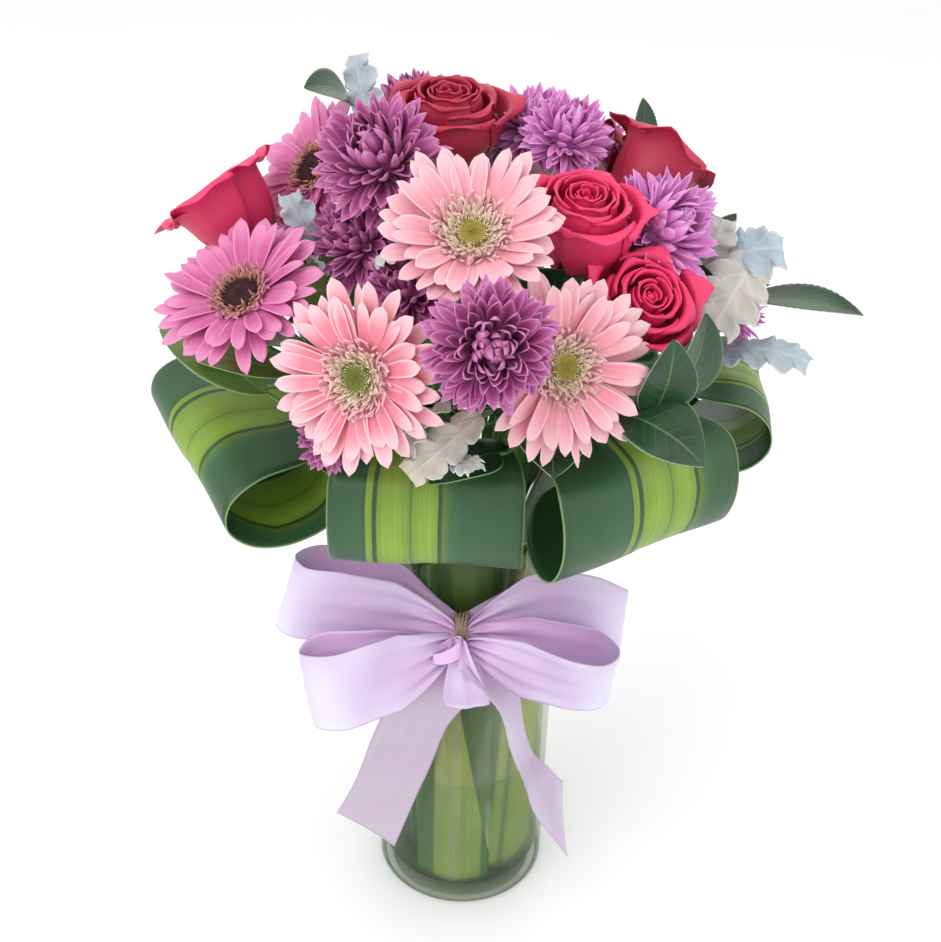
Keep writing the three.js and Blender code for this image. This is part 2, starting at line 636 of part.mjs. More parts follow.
const KNOT = vec(-3, -70.2, TIE_HEIGHT);
const KNOT_RADIUS = 8.5;

// Side loops: the far end relative to the knot, and how far the loop opens towards the front.
const BOW_LOOPS = [
  { end: [-100, -3, 20], open: 15, lean: 16 },
  { end: [-84, -15, -32], open: 15, lean: -12 },
  { end: [98, -1, 20], open: 15, lean: -14 },
  { end: [82, -15, -26], open: 16, lean: 12 },
];

// Tails: points down the ribbon's middle relative to the knot, with the way the ribbon's width runs.
const BOW_TAILS = [
  { points: [[0, -3, -4], [-16, -5, -44], [-38, -3, -104], [-61, 4, -178]],
    across: [[1, 0, 0.1], [0.95, 0.15, 0.25], [0.93, 0.1, 0.35], [0.9, 0.05, 0.42]] },
  { points: [[2, -3, -4], [15, -10, -42], [33, -17, -104], [64, -6, -170]],
    across: [[1, 0, -0.1], [0.75, -0.55, -0.2], [0.45, -0.8, -0.25], [0.75, -0.35, -0.45]] },
];

function ribbonWidth(along) {
  return lerp(4, RIBBON_WIDTH / 2, clamp(along / 50, 0, 1) ** 0.85);
}

function bowLoop({ end, open, lean }, grow) {
  const run = vec(...end);
  const length = run.length();
  const out = run.clone().normalize();
  const forward = vec(0, -1, 0).sub(out.clone().multiplyScalar(-out.y)).normalize();
  const across = vec().crossVectors(out, forward).applyAxisAngle(out, degToRad(lean)).normalize();
  const place = (u, v) => {
    const a = Math.PI * u;
    const along = length * Math.sin(a) ** 0.85;
    const swell = open * Math.sin(2 * a) * (0.35 + 0.65 * Math.sin(a)) + 1.3 * Math.cos(a);
    return KNOT.clone().addScaledVector(out, along + 3).addScaledVector(forward, swell)
      .addScaledVector(across, v * ribbonWidth(along));
  };
  return sheet(place, 8, 2, RIBBON_THICKNESS, grow);
}

function bowTail({ points, across }, grow) {
  const middle = new THREE.CatmullRomCurve3(points.map((p) => vec(...p)), false, 'centripetal');
  const widths = new THREE.CatmullRomCurve3(across.map((p) => vec(...p).normalize()));
  const length = middle.getLength();
  const place = (u, v) => {
    const half = ribbonWidth(u * length) * (u === 1 ? 1 + 0.06 * v : 1);
    return middle.getPoint(u).add(KNOT).addScaledVector(widths.getPoint(u).normalize(), v * half);
  };
  return sheet(place, 5, 2, RIBBON_THICKNESS, grow);
}

// The small loop that hangs over the front of the knot.
function centreLoop(grow) {
  const place = (u, v) => {
    const a = Math.PI * u;
    const drop = 36 * Math.sin(a) ** 0.8;
    const half = lerp(5, 14, Math.sin(a));
    const forward = 5 + 9 * Math.sin(a) - 6 * Math.cos(a);
    return KNOT.clone().add(vec(2 + v * half, -forward - 3, 2 - drop + 2 * v * v));
  };
  return sheet(place, 6, 2, RIBBON_THICKNESS, grow);
}

function bow(grow = 0) {
  const ball = new THREE.SphereGeometry(KNOT_RADIUS, 8, 5).scale(1, 0.85, 1.1);
  const centre = new THREE.Matrix4().setPosition(KNOT);
  return fuse([
    solidOf(ball, centre),
    ...BOW_LOOPS.map((loop) => bowLoop(loop, grow)),
    ...BOW_TAILS.map((tail) => bowTail(tail, grow)),
    centreLoop(grow),
  ]);
}

// A cord round the glass behind the bow's knot.
function tie(grow = 0) {
  const inner = VASE_RADIUS + 0.7 - grow;
  const ring = [[inner, -1 - grow], [inner + 1.6 + 2 * grow, 0], [inner, 1 + grow], [inner, -1 - grow]];
  return lathe(ring, VASE_SIDES, new THREE.Matrix4().setPosition(0, 0, TIE_HEIGHT));
}

// ---------------------------------------------------------------- vase and water

function vase(grow = 0) {
  const r = VASE_RADIUS + grow;
  const inner = VASE_RADIUS - GLASS - grow;
  const floor = GLASS_FLOOR + grow;
  return lathe([
    [0, 0], [r - 3, 0], [r, 4], [r, VASE_HEIGHT - 1], [r - 1, VASE_HEIGHT + grow],
    [inner + 1, VASE_HEIGHT + grow], [inner, VASE_HEIGHT - 1], [inner, floor + 3], [inner - 3, floor], [0, floor],
  ], VASE_SIDES);
}

function water() {
  const inner = VASE_RADIUS - GLASS - 2 * GAP;
  return lathe([
    [0, GLASS_FLOOR + GAP], [inner - 3.2, GLASS_FLOOR + GAP], [inner, GLASS_FLOOR + 3.3],
    [inner, WATER_LEVEL], [0, WATER_LEVEL],
  ], WATER_SIDES);
}

// ---------------------------------------------------------------- assembly

const PLAIN = { roughness: 0.6, metalness: 0 };
const PETAL = { roughness: 0.55, metalness: 0 };
const WAXY = { roughness: 0.4, metalness: 0 };
const GLASSY = { roughness: 0.05, metalness: 0, transparent: true, opacity: 0.35 };

// Feet of the stems on the vase's floor. Roses and chrysanthemums stand bunched in the middle,
// evenly round in this order from the front to the right, gerberas in a ring round them,
// and the leafy stems outside.
const BUNCH_RING = 8.2;
const BUNCH_START = 350;
const BUNCH = ['spray_front', 'rose_right_top', 'rose_right_low', 'spray_right', 'rose_right_side', 'spray_top',
  'spray_back', 'rose_back', 'rose_top', 'rose_left', 'spray_left_centre'];
const GERBERA_RING = 22;
const LEAFY_RING = 38;
const GERBERA_FEET = { left_front: 335, top_front: 5, right_front: 25, left_side: 302, left_top: 255, back: 150 };

const bunchTurn = (name) => BUNCH_START + (360 * BUNCH.indexOf(name)) / BUNCH.length;

// Pieces in order: each is cut clear of those before it, by GAP all round.
const pieces = [];

function add(name, colour, finish, make) {
  let body = make(0);
  for (const other of pieces) {
    if (other.grown.intersect(body).isEmpty()) continue;
    body = body.subtract(other.grown);
  }
  body = largest(body);
  pieces.push({ name, colour, finish, body, grown: fuse([make(GAP), body]) });
}

const frameOf = ({ at, turn, lift }) => facing(at, turn, lift);

add('vase', 0xe8f0ee, GLASSY, vase);

for (const head of GERBERAS) {
  const make = (grow) => gerberaStem(head, GERBERA_RING, GERBERA_FEET[head.name], grow);
  add(`gerbera_stem_${head.name}`, COLOURS.green, PLAIN, make);
}
add('rose_and_chrysanthemum_stems', COLOURS.green, PLAIN, (grow) => fuse([
  ...ROSES.map((head) => roseStem(head, BUNCH_RING, bunchTurn(`rose_${head.name}`), grow)),
  ...MUM_SPRAYS.map(({ name, fork, heads }) =>
    sprayStem(heads, BUNCH_RING, bunchTurn(`spray_${name}`), vec(...fork), grow)),
]));

GERBERAS.forEach((head, i) => {
  const frame = frameOf(head);
  const button = head.colour === 'orchid' ? COLOURS.brown : COLOURS.cream;
  add(`gerbera_disc_${head.name}`, button, PLAIN, (grow) => gerberaDisc(frame, grow));
  add(`gerbera_petals_${head.name}`, COLOURS[head.colour], PETAL, (grow) =>
    gerberaPetals(head, frame, 11 + i, grow));
});
ROSES.forEach((head, i) => {
  add(`rose_${head.name}`, COLOURS[head.colour], PETAL, (grow) => roseBloom(head, frameOf(head), 31 + i, grow));
});
MUM_SPRAYS.flatMap(({ heads }) => heads).forEach((head, i) => {
  add(`chrysanthemum_${head.name}`, COLOURS[head.colour], PETAL, (grow) =>
    mumHead(head, frameOf(head), 51 + i, grow));
});

for (const loop of LEAF_LOOPS) {
  add(`leaf_loop_${loop.name}`, COLOURS.leaf, WAXY, (grow) => leafLoop(loop, grow));
}
for (const leaf of LINERS) {
  add(`leaf_liner_${leaf.name}`, COLOURS.leaf, WAXY, (grow) => liner(leaf, grow));
}
add('tie', 0x9a8a78, PLAIN, tie);
add('bow', 0xd9c0e4, PLAIN, bow);
for (const spray of SILVER_SPRAYS) {
  add(`silver_spray_${spray.name}`, COLOURS.silver, PLAIN, (grow) => leafySpray(spray, LEAFY_RING, 3.5, grow));
}
for (const spray of FOLIAGE_SPRAYS) {
  add(`foliage_${spray.name}`, COLOURS.leaf, WAXY, (grow) => leafySpray(spray, LEAFY_RING, 0, grow));
}
add('water', 0xdfeeea, GLASSY, () => water());

const bouquet = new THREE.Group();
for (const { name, colour, finish, body } of pieces) {
  const { vertProperties, triVerts } = body.getMesh();
  const geometry = new THREE.BufferGeometry();
  geometry.setAttribute('position', new THREE.BufferAttribute(new Float32Array(vertProperties), 3));
  geometry.setIndex(new THREE.BufferAttribute(new Uint32Array(triVerts), 1));
  geometry.computeVertexNormals();
  const mesh = new THREE.Mesh(geometry, new THREE.MeshStandardMaterial({ color: colour, ...finish }));
  mesh.name = name;
  bouquet.add(mesh);
}

export default bouquet;
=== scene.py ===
"""A hand-tied bunch of gerberas, roses and chrysanthemums in a clear glass cylinder vase.

Lengths in the tables are millimetres. +Z is up, -Y is the front and the origin is the middle of the
vase's flat bottom. A turn is the direction something faces, from the front (0) round to the right
(+90), and a lift is how far it looks up from level, both in degrees.
"""

import math

import bpy
import numpy as np
from bpy.props import FloatProperty, FloatVectorProperty, IntProperty, PointerProperty
from mathutils import Matrix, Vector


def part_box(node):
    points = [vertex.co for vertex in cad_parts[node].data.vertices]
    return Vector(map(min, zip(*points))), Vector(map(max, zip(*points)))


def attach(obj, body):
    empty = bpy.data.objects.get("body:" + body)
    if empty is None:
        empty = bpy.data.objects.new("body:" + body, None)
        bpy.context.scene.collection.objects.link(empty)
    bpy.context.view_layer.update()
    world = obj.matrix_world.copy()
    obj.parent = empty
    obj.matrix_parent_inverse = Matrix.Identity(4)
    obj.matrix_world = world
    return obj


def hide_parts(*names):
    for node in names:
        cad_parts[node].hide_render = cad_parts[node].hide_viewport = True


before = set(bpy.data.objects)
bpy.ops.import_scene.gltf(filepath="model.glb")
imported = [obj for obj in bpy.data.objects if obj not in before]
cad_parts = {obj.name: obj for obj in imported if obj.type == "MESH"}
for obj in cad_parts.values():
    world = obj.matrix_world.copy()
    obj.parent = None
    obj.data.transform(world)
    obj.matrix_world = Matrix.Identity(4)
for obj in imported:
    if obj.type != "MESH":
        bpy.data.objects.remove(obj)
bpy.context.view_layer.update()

bl_info = {
    "name": "Vase of gerberas",
    "version": (1, 0, 0),
    "blender": (4, 5, 0),
    "location": "3D View > Sidebar > Bouquet",
    "description": "Builds a vase of gerberas, roses, chrysanthemums and rolled leaves with a bow",
    "category": "Add Mesh",
}

MM = 0.001

# ---------------------------------------------------------------- the bunch, in millimetres

VASE_RADIUS, VASE_HEIGHT = 60, 300
GLASS, GLASS_FLOOR = 4, 14  # thickness of the vase's wall and bottom
TOUCH = 0.08  # how far the water's skin reaches into the glass, so that no gap shows
CORNER = 4  # radius of the glass where wall and bottom meet
FOOT_HOLLOW = 1.2  # how far the middle of the bottom stands off the table
AXIS = 0.4  # radius of the small cap that closes a turned shape at its axis
TIE_HEIGHT = 250
# The cord's distance from the axis, the radius of its strands and the turns of their twist.
CORD_RING, CORD_STRAND, CORD_TWISTS = VASE_RADIUS + 0.7 + 0.85, 0.48, 46

# Radii of the stems, at the foot and at the top.
GERBERA_STEM, ROSE_STEM, SPRAY_STEM = (2.688, 2.38), (2.88, 2.55), (2.4, 2.04)
TWIG, LEAFY_STEM, LEAF_STALK = (1.8, 1.26), (1.84, 1.6), (1.5, 0.7)
LEAFLET = 0.5  # thickness of the small leaves
# Distances of the stems' feet from the vase's axis, and the turns of the feet.
GERBERA_RING, BUNCH_RING, LEAFY_RING = 22, 8.2, 38
GERBERA_FEET = {"left_front": 335, "top_front": 5, "right_front": 25, "left_side": 302,
                "left_top": 255, "back": 150}
BUNCH_START = 350
BUNCH = ["spray_front", "rose_right_top", "rose_right_low", "spray_right", "rose_right_side",
         "spray_top", "spray_back", "rose_back", "rose_top", "rose_left", "spray_left_centre"]

GATHERED, IN_COLLAR = 240, 380  # heights at which the stems meet in the mouth, and leave the collar
GERBERA_BACK = 11  # how far behind a gerbera's middle its stem ends
MUM_BACK = 0.368  # the same for a chrysanthemum, as a share of its radius
GOLDEN_TURN = 137.508  # degrees from one petal or floret to the next
HUB = 12.5  # distance from a gerbera's axis at which its petals leave the hub
ROSE_BASE = 34  # how far a rose's base lies behind its middle
# name, middle, turn, lift, radius, cup, colour, how pale, disc
GERBERAS = [
    ("left_front", (-57, -138, 452), -27, 15, 51, 10, "coral", -0.2, "olive"),
    ("top_front", (-3, -100, 514), -2, 50, 49, 27, "coral", 0.5, "mustard"),
    ("right_front", (45, -118, 452), 27, 20, 53, 17, "coral", 0.35, "mustard"),
    ("left_side", (-127, -66, 464), -34, 55, 51, 13, "orchid", 0.05, "maroon"),
    ("left_top", (-97, 28, 508), -52, 34, 47, 10, "orchid", 0.0, "maroon"),
    ("back", (60, 118, 480), 152, 32, 48, 8, "coral", 0.3, "mustard"),
]
# Screen colours of a gerbera's petal tips, florets and the florets' specks, then of a disc's
# middle, its ring, and a dark colour for its specks and for the painted shade between its florets.
GERBERA_SHADES = {"coral": ("f5c8d0", "f8e6d0", "d3a88c"), "orchid": ("e690be", "dda18c", "8a4a48")}
DISC_SHADES = {"mustard": ("a99a3e", "f0e2b4", "6b5230"), "olive": ("7c8434", "e2dcae", "5b5a24"),
               "maroon": ("3a1620", "5a2c30", "1c080e")}
DISCS = {"coral": (8.4, "disc_pale"), "orchid": (10.5, "disc_dark")}  # radius, material slot
# Rows of short florets round the disc: reach, height, how pale.
COLLARS = {
    "coral": [(23.5, 2.6, 0.7), (20.2, 3.6, 0.78), (17.2, 4.6, 0.9), (14.4, 5.4, 1.0),
              (12.2, 5.8, 1.0)],
    "orchid": [(20.6, 3.2, 0.8), (18.2, 4.0, 0.92), (15.8, 4.8, 1.0), (13.6, 5.4, 1.0)],
}
# name, middle, turn, lift, radius, colour, how far the lips curl, how open it is, how long and how
# wide its body is, and how far its middle stands above its outer petals
ROSES = [
    ("left", (-153, 3, 503), -104, 50, 33, "rose_pink", 1.7, 1.04, 1.25, 0.88, -5),
    ("top", (-19, 22, 556), 0, 78, 35, "red", 0.8, 0.96, 1.3, 1.0, 9),
    ("right_top", (56, -62, 524), 10, 70, 32, "rose_pink", 0.8, 0.96, 1.45, 1.0, 9),
    ("right_side", (107, 20, 527), 126, 50, 33, "red", 1.5, 1.02, 1.35, 0.82, -4),
    ("right_low", (92, -82, 478), 26, 44, 31, "rose_pink", 1.1, 0.98, 1.0, 1.0, 9),
    ("back", (-62, 122, 486), -155, 40, 32, "red", 1.0, 0.96, 1.0, 1.0, 9),
]
# fork of the branching stem, then its heads: name, middle, turn, lift, radius, colour, full
MUM_SPRAYS = {
    "left_centre": ((-40, -33, 440), [
        ("left_centre", (-52, -45, 535), -20, 42, 36, "plum", True),
        ("left_inner", (-64, -39, 488), -40, 40, 29, "plum", True),
        ("centre_low", (-36, -75, 474), -20, 40, 26, "plum", False),
        ("left_outer", (-103, -19, 469), -60, 40, 25, "plum", False)]),
    "front": ((-16, -46, 392), [
        ("front", (7, -162, 481), 4, 18, 33, "plum", True),
        ("low_left", (-75, -110, 403), -35, 10, 20, "plum", False)]),
    "top": ((26, 22, 470), [
        ("top", (31, 44, 532), 10, 66, 28, "lilac", True),
        ("top_right", (48, 7, 537), 20, 60, 27, "lilac", True),
        ("top_outer", (71, 46, 522), 60, 55, 20, "lilac", False)]),
    "right": ((60, 6, 380), [
        ("right", (99, -30, 495), 45, 36, 36, "lilac", True),
        ("right_edge", (153, 13, 435), 80, 25, 25, "lilac", False),
        ("back_right", (124, 74, 470), 120, 28, 29, "lilac", True)]),
    "back": ((-30, 62, 420), [
        ("top_back", (-42, 76, 535), -20, 70, 26, "plum", False),
        ("back_left", (-118, 66, 462), -118, 28, 29, "plum", True),
        ("back_centre", (0, 128, 500), 180, 40, 28, "plum", True)]),
}
# foot's turn, fork as (turn, distance out, height), then leaves: base, tip, width, arch, the turn
# and lift that it faces, and how beige a silver leaf is
SILVER_SPRAYS = {
    "left": (293, (293, 44, 400), [
        ((-61, 21, 530), (-72, 25, 576), 24, 3, (-30, 30), 0.2),
        ((-86, -24, 474), (-104, -40, 514), 22, 3, (-20, 30), 0.2),
        ((-84, -34, 466), (-91, -54, 486), 16, 2, (-30, 20), 0.4),
        ((-52, -66, 488), (-34, -97, 506), 22, 3, (10, 50), 0.7)]),
    "front": (352, (352, 51, 386), [
        ((4, -128, 428), (-32, -152, 404), 24, 6, (10, 30), 1.0),
        ((-14, -122, 432), (-34, -150, 416), 18, 3, (-60, 30), 0.8),
        ((-8, -134, 404), (2, -154, 410), 17, 2, (5, 60), 0.6)]),
    "right": (74, (76, 50, 404), [
        ((132, 10, 459), (177, -4, 480), 42, 6, (10, 55), 0.0),
        ((131, 8, 463), (142, 4, 494), 28, 4, (10, 20), 0.7),
        ((162, 2, 471), (135, -42, 446), 44, 8, (30, 60), 0.8),
        ((146, -8, 414), (194, -36, 422), 28, 7, (20, 60), 0.1)]),
}
FOLIAGE_SPRAYS = {
    "left": (321, (321, 49, 386), [
        ((-118, -60, 404), (-184, -28, 428), 30, 8, (-50, 55)),
        ((-104, -62, 416), (-160, -52, 420), 25, 6, (-50, 65)),
        ((-24, -50, 388), (-42, -98, 412), 46, 5, (-20, 45)),
        ((-44, -40, 390), (-92, -66, 420), 46, 5, (-50, 45)),
        ((-60, -34, 430), (-104, -58, 448), 36, 4, (-50, 45)),
        ((-54, -10, 390), (-108, -4, 422), 46, 5, (-90, 45)),
        ((-92, -26, 412), (-134, -58, 436), 46, 4, (-50, 45)),
        ((-70, -30, 450), (-104, -58, 474), 50, 4, (-20, 25))]),
    "right_back": (131, (128, 50, 388), [
        ((166, 28, 436), (222, -30, 450), 27, 5, (10, 65)),
        ((97, 62, 514), (97, 68, 547), 18, 3, (30, 20)),
        ((136, 31, 472), (155, 33, 488), 16, 3, (60, 30)),
        ((60, 10, 392), (118, 12, 424), 46, 5, (90, 45)),
        ((96, 4, 442), (134, -26, 470), 40, 4, (60, 30)),
        ((52, 44, 392), (98, 78, 420), 46, 5, (130, 45))]),
    "right_front": (44, (44, 50, 386), [
        ((96, -100, 418), (103, -106, 464), 34, 6, (20, 5)),
        ((106, -84, 416), (122, -84, 470), 42, 6, (45, 5)),
        ((78, -104, 420), (122, -129, 402), 44, 7, (35, 45)),
        ((40, -110, 404), (42, -146, 402), 36, 6, (15, 70)),
        ((14, -98, 390), (-22, -134, 390), 34, 4, (-10, 70)),
        ((-4, -54, 386), (-8, -104, 416), 46, 5, (-4, 45)),
        ((20, -54, 388), (34, -102, 418), 46, 5, (20, 45)),
        ((46, -36, 388), (86, -68, 414), 46, 5, (45, 45)),
        ((12, -40, 440), (32, -86, 480), 38, 4, (12, 30)),
        ((26, -36, 442), (56, -72, 484), 40, 4, (20, 40))]),
    "back": (170, (170, 50, 386), [
        ((-76, 44, 544), (-100, 12, 560), 30, 5, (-20, 40)),
        ((-20, 110, 410), (-60, 150, 404), 40, 8, (200, 60)),
        ((20, 112, 414), (40, 160, 410), 42, 8, (170, 60)),
        ((84, 92, 408), (128, 112, 398), 38, 8, (130, 60)),
        ((-84, 88, 408), (-136, 96, 400), 38, 8, (235, 60)),
        ((0, 58, 392), (4, 112, 422), 46, 5, (180, 45)),
        ((-40, 44, 392), (-84, 76, 420), 46, 5, (220, 45))]),
}
# turn of the foot, the roll's middle, yaw, depth, height, width, tilt, droop, and where its stripe
# lies across it and how far that drifts
LEAF_LOOPS = {
    "front": (-12, (-24, -89, 349), -2, 50, 64, 110, 0, 0, 0.42, 0.0),
    "right_front": (46, (90, -79, 354), 31, 50, 63, 120, 8, 0, 0.60, 0.0),
    "right": (100, (151, 5, 375), 88, 60, 43, 80, 12, 4, 0.50, 0.0),
    "back_right": (152, (70, 108, 352), 148, 52, 62, 106, 0, 0, 0.46, 0.0),
    "back_left": (208, (-64, 110, 352), 210, 52, 62, 106, 0, 0, 0.54, 0.0),
    "left": (290, (-137, -22, 350), -57, 80, 44, 114, -37, 10, 0.50, 0.22),
}
STRIPE_HALF = 0.17  # half width of the stripe, as a share of the leaf's
# Stations of the roll: out and up as shares of half the depth and height, and share of the width.
ROLL = np.array([(-1, -1, 0.62), (-0.2, -1.08, 0.86), (0.6, -0.92, 0.98), (0.98, -0.35, 1),
                 (0.98, 0.35, 1), (0.55, 0.92, 1), (-0.2, 1.02, 0.97), (-0.85, 0.55, 0.9),
                 (-0.95, -0.1, 0.75), (-0.4, -0.6, 0.45)])
# The leaf's foot inside the mouth and over the rim: distance out, height, half width.
TONGUE = np.array([(50.4, 236, 4), (50.4, 272, 14), (51.4, 296, 21), (58, 302.4, 24)])
# turn, span, inset from the glass, bottom, top, lean, then lanes of colour: start, and 0 green,
# 1 lime, 2 midrib
LINERS = {
    "front": (-6, 56, 0.9, 22, 292, 0, ((0, 0), (0.25, 1), (0.46, 2), (0.58, 1), (0.88, 0))),
    "right": (56, 66, 2.2, 30, 290, -16, ((0, 0), (0.2, 1), (0.34, 0), (0.4, 1), (0.92, 0))),
    "back": (196, 130, 0, 26, 290, 0, ((0, 0), (0.4, 1), (0.6, 0))),
}
RIBBON_HALF = 25  # half the ribbon's width
KNOT = np.array((-3, -70.2, TIE_HEIGHT))
# Loops and tails of the bow, from the knot: stations of the ribbon's middle, then of its width.
BOW_LOOPS = [
    ([(-3, -3, 2), (-38, -1, 8), (-76, -2, 15), (-102, 0, 17), (-110, 9, 20), (-96, 20, 21),
      (-54, 22, 11), (-20, 10, 3), (-3, 3, 2)],
     [(0, 0.1, 1), (0.1, 0.05, 1), (0.25, 0.1, 0.95), (0.2, 0.1, 1), (0, 0, 1)]),
    ([(-4, -8, -4), (-26, -24, -10), (-52, -33, -17), (-76, -37, -24), (-94, -30, -26),
      (-87, -20, -19), (-50, -17, -15), (-12, -7, -5)],
     [(0, 0.2, 1), (-0.1, 0.2, 1), (-0.2, 0.2, 0.95), (-0.1, 0.1, 1), (0, 0, 1)]),
    ([(3, -2, 3), (28, 1, 10), (56, 4, 16), (83, 5, 12), (101, 9, 0), (97, 18, -4),
      (60, 22, 2), (20, 10, 1), (3, 3, 2)],
     [(0, 0.2, 1), (-0.1, 0.1, 0.97), (0.02, 0.15, 0.99), (0, 0.1, 1), (0, 0, 1)]),
    ([(4, -8, -4), (30, -25, -7), (50, -32, -10), (70, -34, -15), (86, -31, -17), (94, -20, -16),
      (84, -9, -14), (50, -9, -8), (18, -6, -4), (4, -2, -3)],
     [(0, 0, 1), (0, -0.3, 0.95), (0.02, -0.34, 0.93), (0, -0.05, 1), (0, 0.05, 1)]),
]
# The same for the tails, then how far the ribbon is rolled up along its middle, in radians to each
# side, and its slanted cut.
BOW_TAILS = [
    ([(-2, -6, -5), (-14, -14, -31), (-30, -16, -62), (-43, -15, -105), (-61, -9, -160)],
     [(1, 0, 0), (0.9, 0.2, -0.35), (0.86, 0.38, -0.3), (0.84, 0.4, -0.28), (0.9, 0.2, -0.36)],
     (0.1, 0.3, 0.2, 0.15, 0.1), 13),
    ([(2, -6, -5), (14, -16, -24), (26, -19, -46), (34, -21, -75), (43, -25, -93), (54, -31, -106),
      (68, -38, -119)],
     [(1, 0, 0), (0.4, 0.85, -0.3), (0.17, 0.88, -0.44), (0.16, 0.88, -0.44),
      (0.36, 0.87, -0.28), (0.46, 0.85, -0.2)],
     (0.1, 0.7, 0.6, 0.4, 0.25, 0.2), -17),
]
# Painted shade that greys the ribbon: how far for each loop and tail, then the centre loop and the
# tuck.
PAINTED_GREY_SHADE = (0, 0, 0, 0, 1, 0.4, 0, 0)

# ---------------------------------------------------------------- the stage

FLOOR_REACH = 14000  # half the floor's width, in millimetres
LAMPS_AIM = (0.0, 0.0, 0.35)  # metres
# name, place in metres, size in metres, power in watts
LAMPS = [
    ("key", (-1.0, -1.3, 2.0), 1.6, 20.0),
    ("fill", (1.6, -1.1, 1.2), 1.8, 4.0),
    ("back", (0.3, 1.8, 1.9), 1.6, 6.0),
]
# The camera: its place in metres, degrees that it looks down and is rolled, focal length and width
# of the picture in pixels, and width of its sensor in millimetres.
CAMERA_PLACE, CAMERA_PITCH, CAMERA_ROLL = (-0.0005, -0.729, 0.728), 29, 1.68
CAMERA_FOCUS, PHOTO_WIDTH, SENSOR = 1300, 942, 36

# ---------------------------------------------------------------- directions and curves


def direction(turn, lift):
    """Unit vector that looks along a turn and a lift."""
    t, l = np.radians(turn), np.radians(lift)
    return np.array([np.sin(t) * np.cos(l), -np.cos(t) * np.cos(l), np.sin(l)])


def around(turn, radius, height):
    """Points at a distance from the vase's axis, in the direction of a turn, at a height."""
    t = np.radians(turn)
    return np.stack(np.broadcast_arrays(radius * np.sin(t), -radius * np.cos(t), height), -1)


def polar(radius, turn, height):
    """Points at a distance from the +Z axis, a turn in radians from +X, and a height."""
    points = np.broadcast_arrays(radius * np.cos(turn), radius * np.sin(turn), height)
    return np.stack(points, -1)


def level_side(turn, t):
    """The level direction square to each blade's own turn, at each step t along the blade."""
    return np.stack(np.broadcast_arrays(-np.sin(turn), np.cos(turn), 0 * t), -1)


def unit(vectors):
    """The vectors at length one."""
    return vectors / np.maximum(np.linalg.norm(vectors, axis=-1, keepdims=True), 1e-9)


def seat(points, middle, turn, lift):
    """Points of a head's own frame put in place: its +Z looks along turn and lift, X is level."""
    z = direction(turn, lift)
    x = unit(np.cross((0, 0, 1), z))
    return points @ np.array([x, np.cross(z, x), z]) + np.array(middle)


def spline(stations, count, guide=None):
    """Centripetal Catmull-Rom curve through the stations: between two of them each point is the
    cubic whose slopes at both are those of the curve through their neighbours, with steps as long
    as the square root of the distance. Rows of points share the steps of the guide."""
    stations = np.asarray(stations, float)
    guide = stations if guide is None else np.asarray(guide, float)

    def longer(p):
        """One more row at each end, as far on as the last step."""
        return np.concatenate([[2 * p[0] - p[1]], p, [2 * p[-1] - p[-2]]])

    steps = np.diff(longer(guide), axis=0)
    points = longer(stations)
    gaps = np.sqrt(np.linalg.norm(steps.reshape(len(steps), -1), axis=-1) + 1e-6)
    t = np.linspace(0, len(stations) - 1, count)
    k = np.minimum(t.astype(int), len(stations) - 2)
    shape = (-1,) + (1,) * (points.ndim - 1)
    f = (t - k).reshape(shape)
    d0, d1, d2 = (gaps[k + i].reshape(shape) for i in range(3))
    p0, p1, p2, p3 = (points[k + i] for i in range(4))
    s1 = ((p1 - p0) / d0 - (p2 - p0) / (d0 + d1) + (p2 - p1) / d1) * d1
    s2 = ((p2 - p1) / d1 - (p3 - p1) / (d1 + d2) + (p3 - p2) / d2) * d1
    return p1 + s1 * f + (3 * (p2 - p1) - 2 * s1 - s2) * f**2 + (2 * (p1 - p2) + s1 + s2) * f**3


def smooth(x, low, high):
    """0 below low, 1 above high, and a smooth cubic step between them."""
    f = np.clip((x - low) / (high - low), 0, 1)
    return f * f * (3 - 2 * f)


# ---------------------------------------------------------------- surfaces


def tube(path, radius, sides=12):
    """A round rod: at each point of the path a circle of that radius, square to the path."""
    path = np.asarray(path, float)
    along = unit(np.gradient(path, axis=0))
    chord = unit(path[-1] - path[0])
    axis = np.eye(3)[np.argmin(np.abs(chord))]
    across = unit(np.cross(np.cross(along, axis), along))
    other = np.cross(along, across)
    a = np.linspace(0, 2 * np.pi, sides, endpoint=False)[:, None]
    ring = np.cos(a) * across[:, None] + np.sin(a) * other[:, None]
    return path[:, None] + ring * np.broadcast_to(radius, len(path))[:, None, None]


def lathe(profile, sides):
    """A profile of (distance from the axis, height) turned round +Z."""
    profile = np.asarray(profile, float)
    a = np.linspace(0, 2 * np.pi, sides, endpoint=False)
    return polar(profile[:, :1], a, profile[:, 1:])


def arc(r, z, radius, first, last, count=7):
    """Part of a profile: a circle about (r, z), from one angle to another in degrees."""
    a = np.radians(np.linspace(first, last, count))
    return np.stack([r + radius * np.cos(a), z + radius * np.sin(a)], -1)


def upright(r, low, high, count):
    """Part of a profile: points at distance r from the axis, from one height to another."""
    return np.stack([np.full(count, r), np.linspace(low, high, count)], -1)


def blades(centre, side, half, across=7, trough=0.0, ridge=0.0):
    """Thin blades. Each point is the blade's centre line moved along its side by v times the half
    width, v from -1 to 1, and along its normal by trough times half times v squared plus
    ridge times the cosine of 3 pi v where the blade is wide."""
    v = np.linspace(-1, 1, across)
    normal = unit(np.cross(np.gradient(centre, axis=1), side))
    trough = np.reshape(trough, (-1, 1, 1))
    wide = (half / half.max(axis=1, keepdims=True))[..., None]
    lift = trough * half[..., None] * v**2 + ridge * np.cos(3 * np.pi * v) * wide
    return (centre[:, :, None] + side[:, :, None] * (half[..., None] * v)[..., None]
            + normal[:, :, None] * lift[..., None])


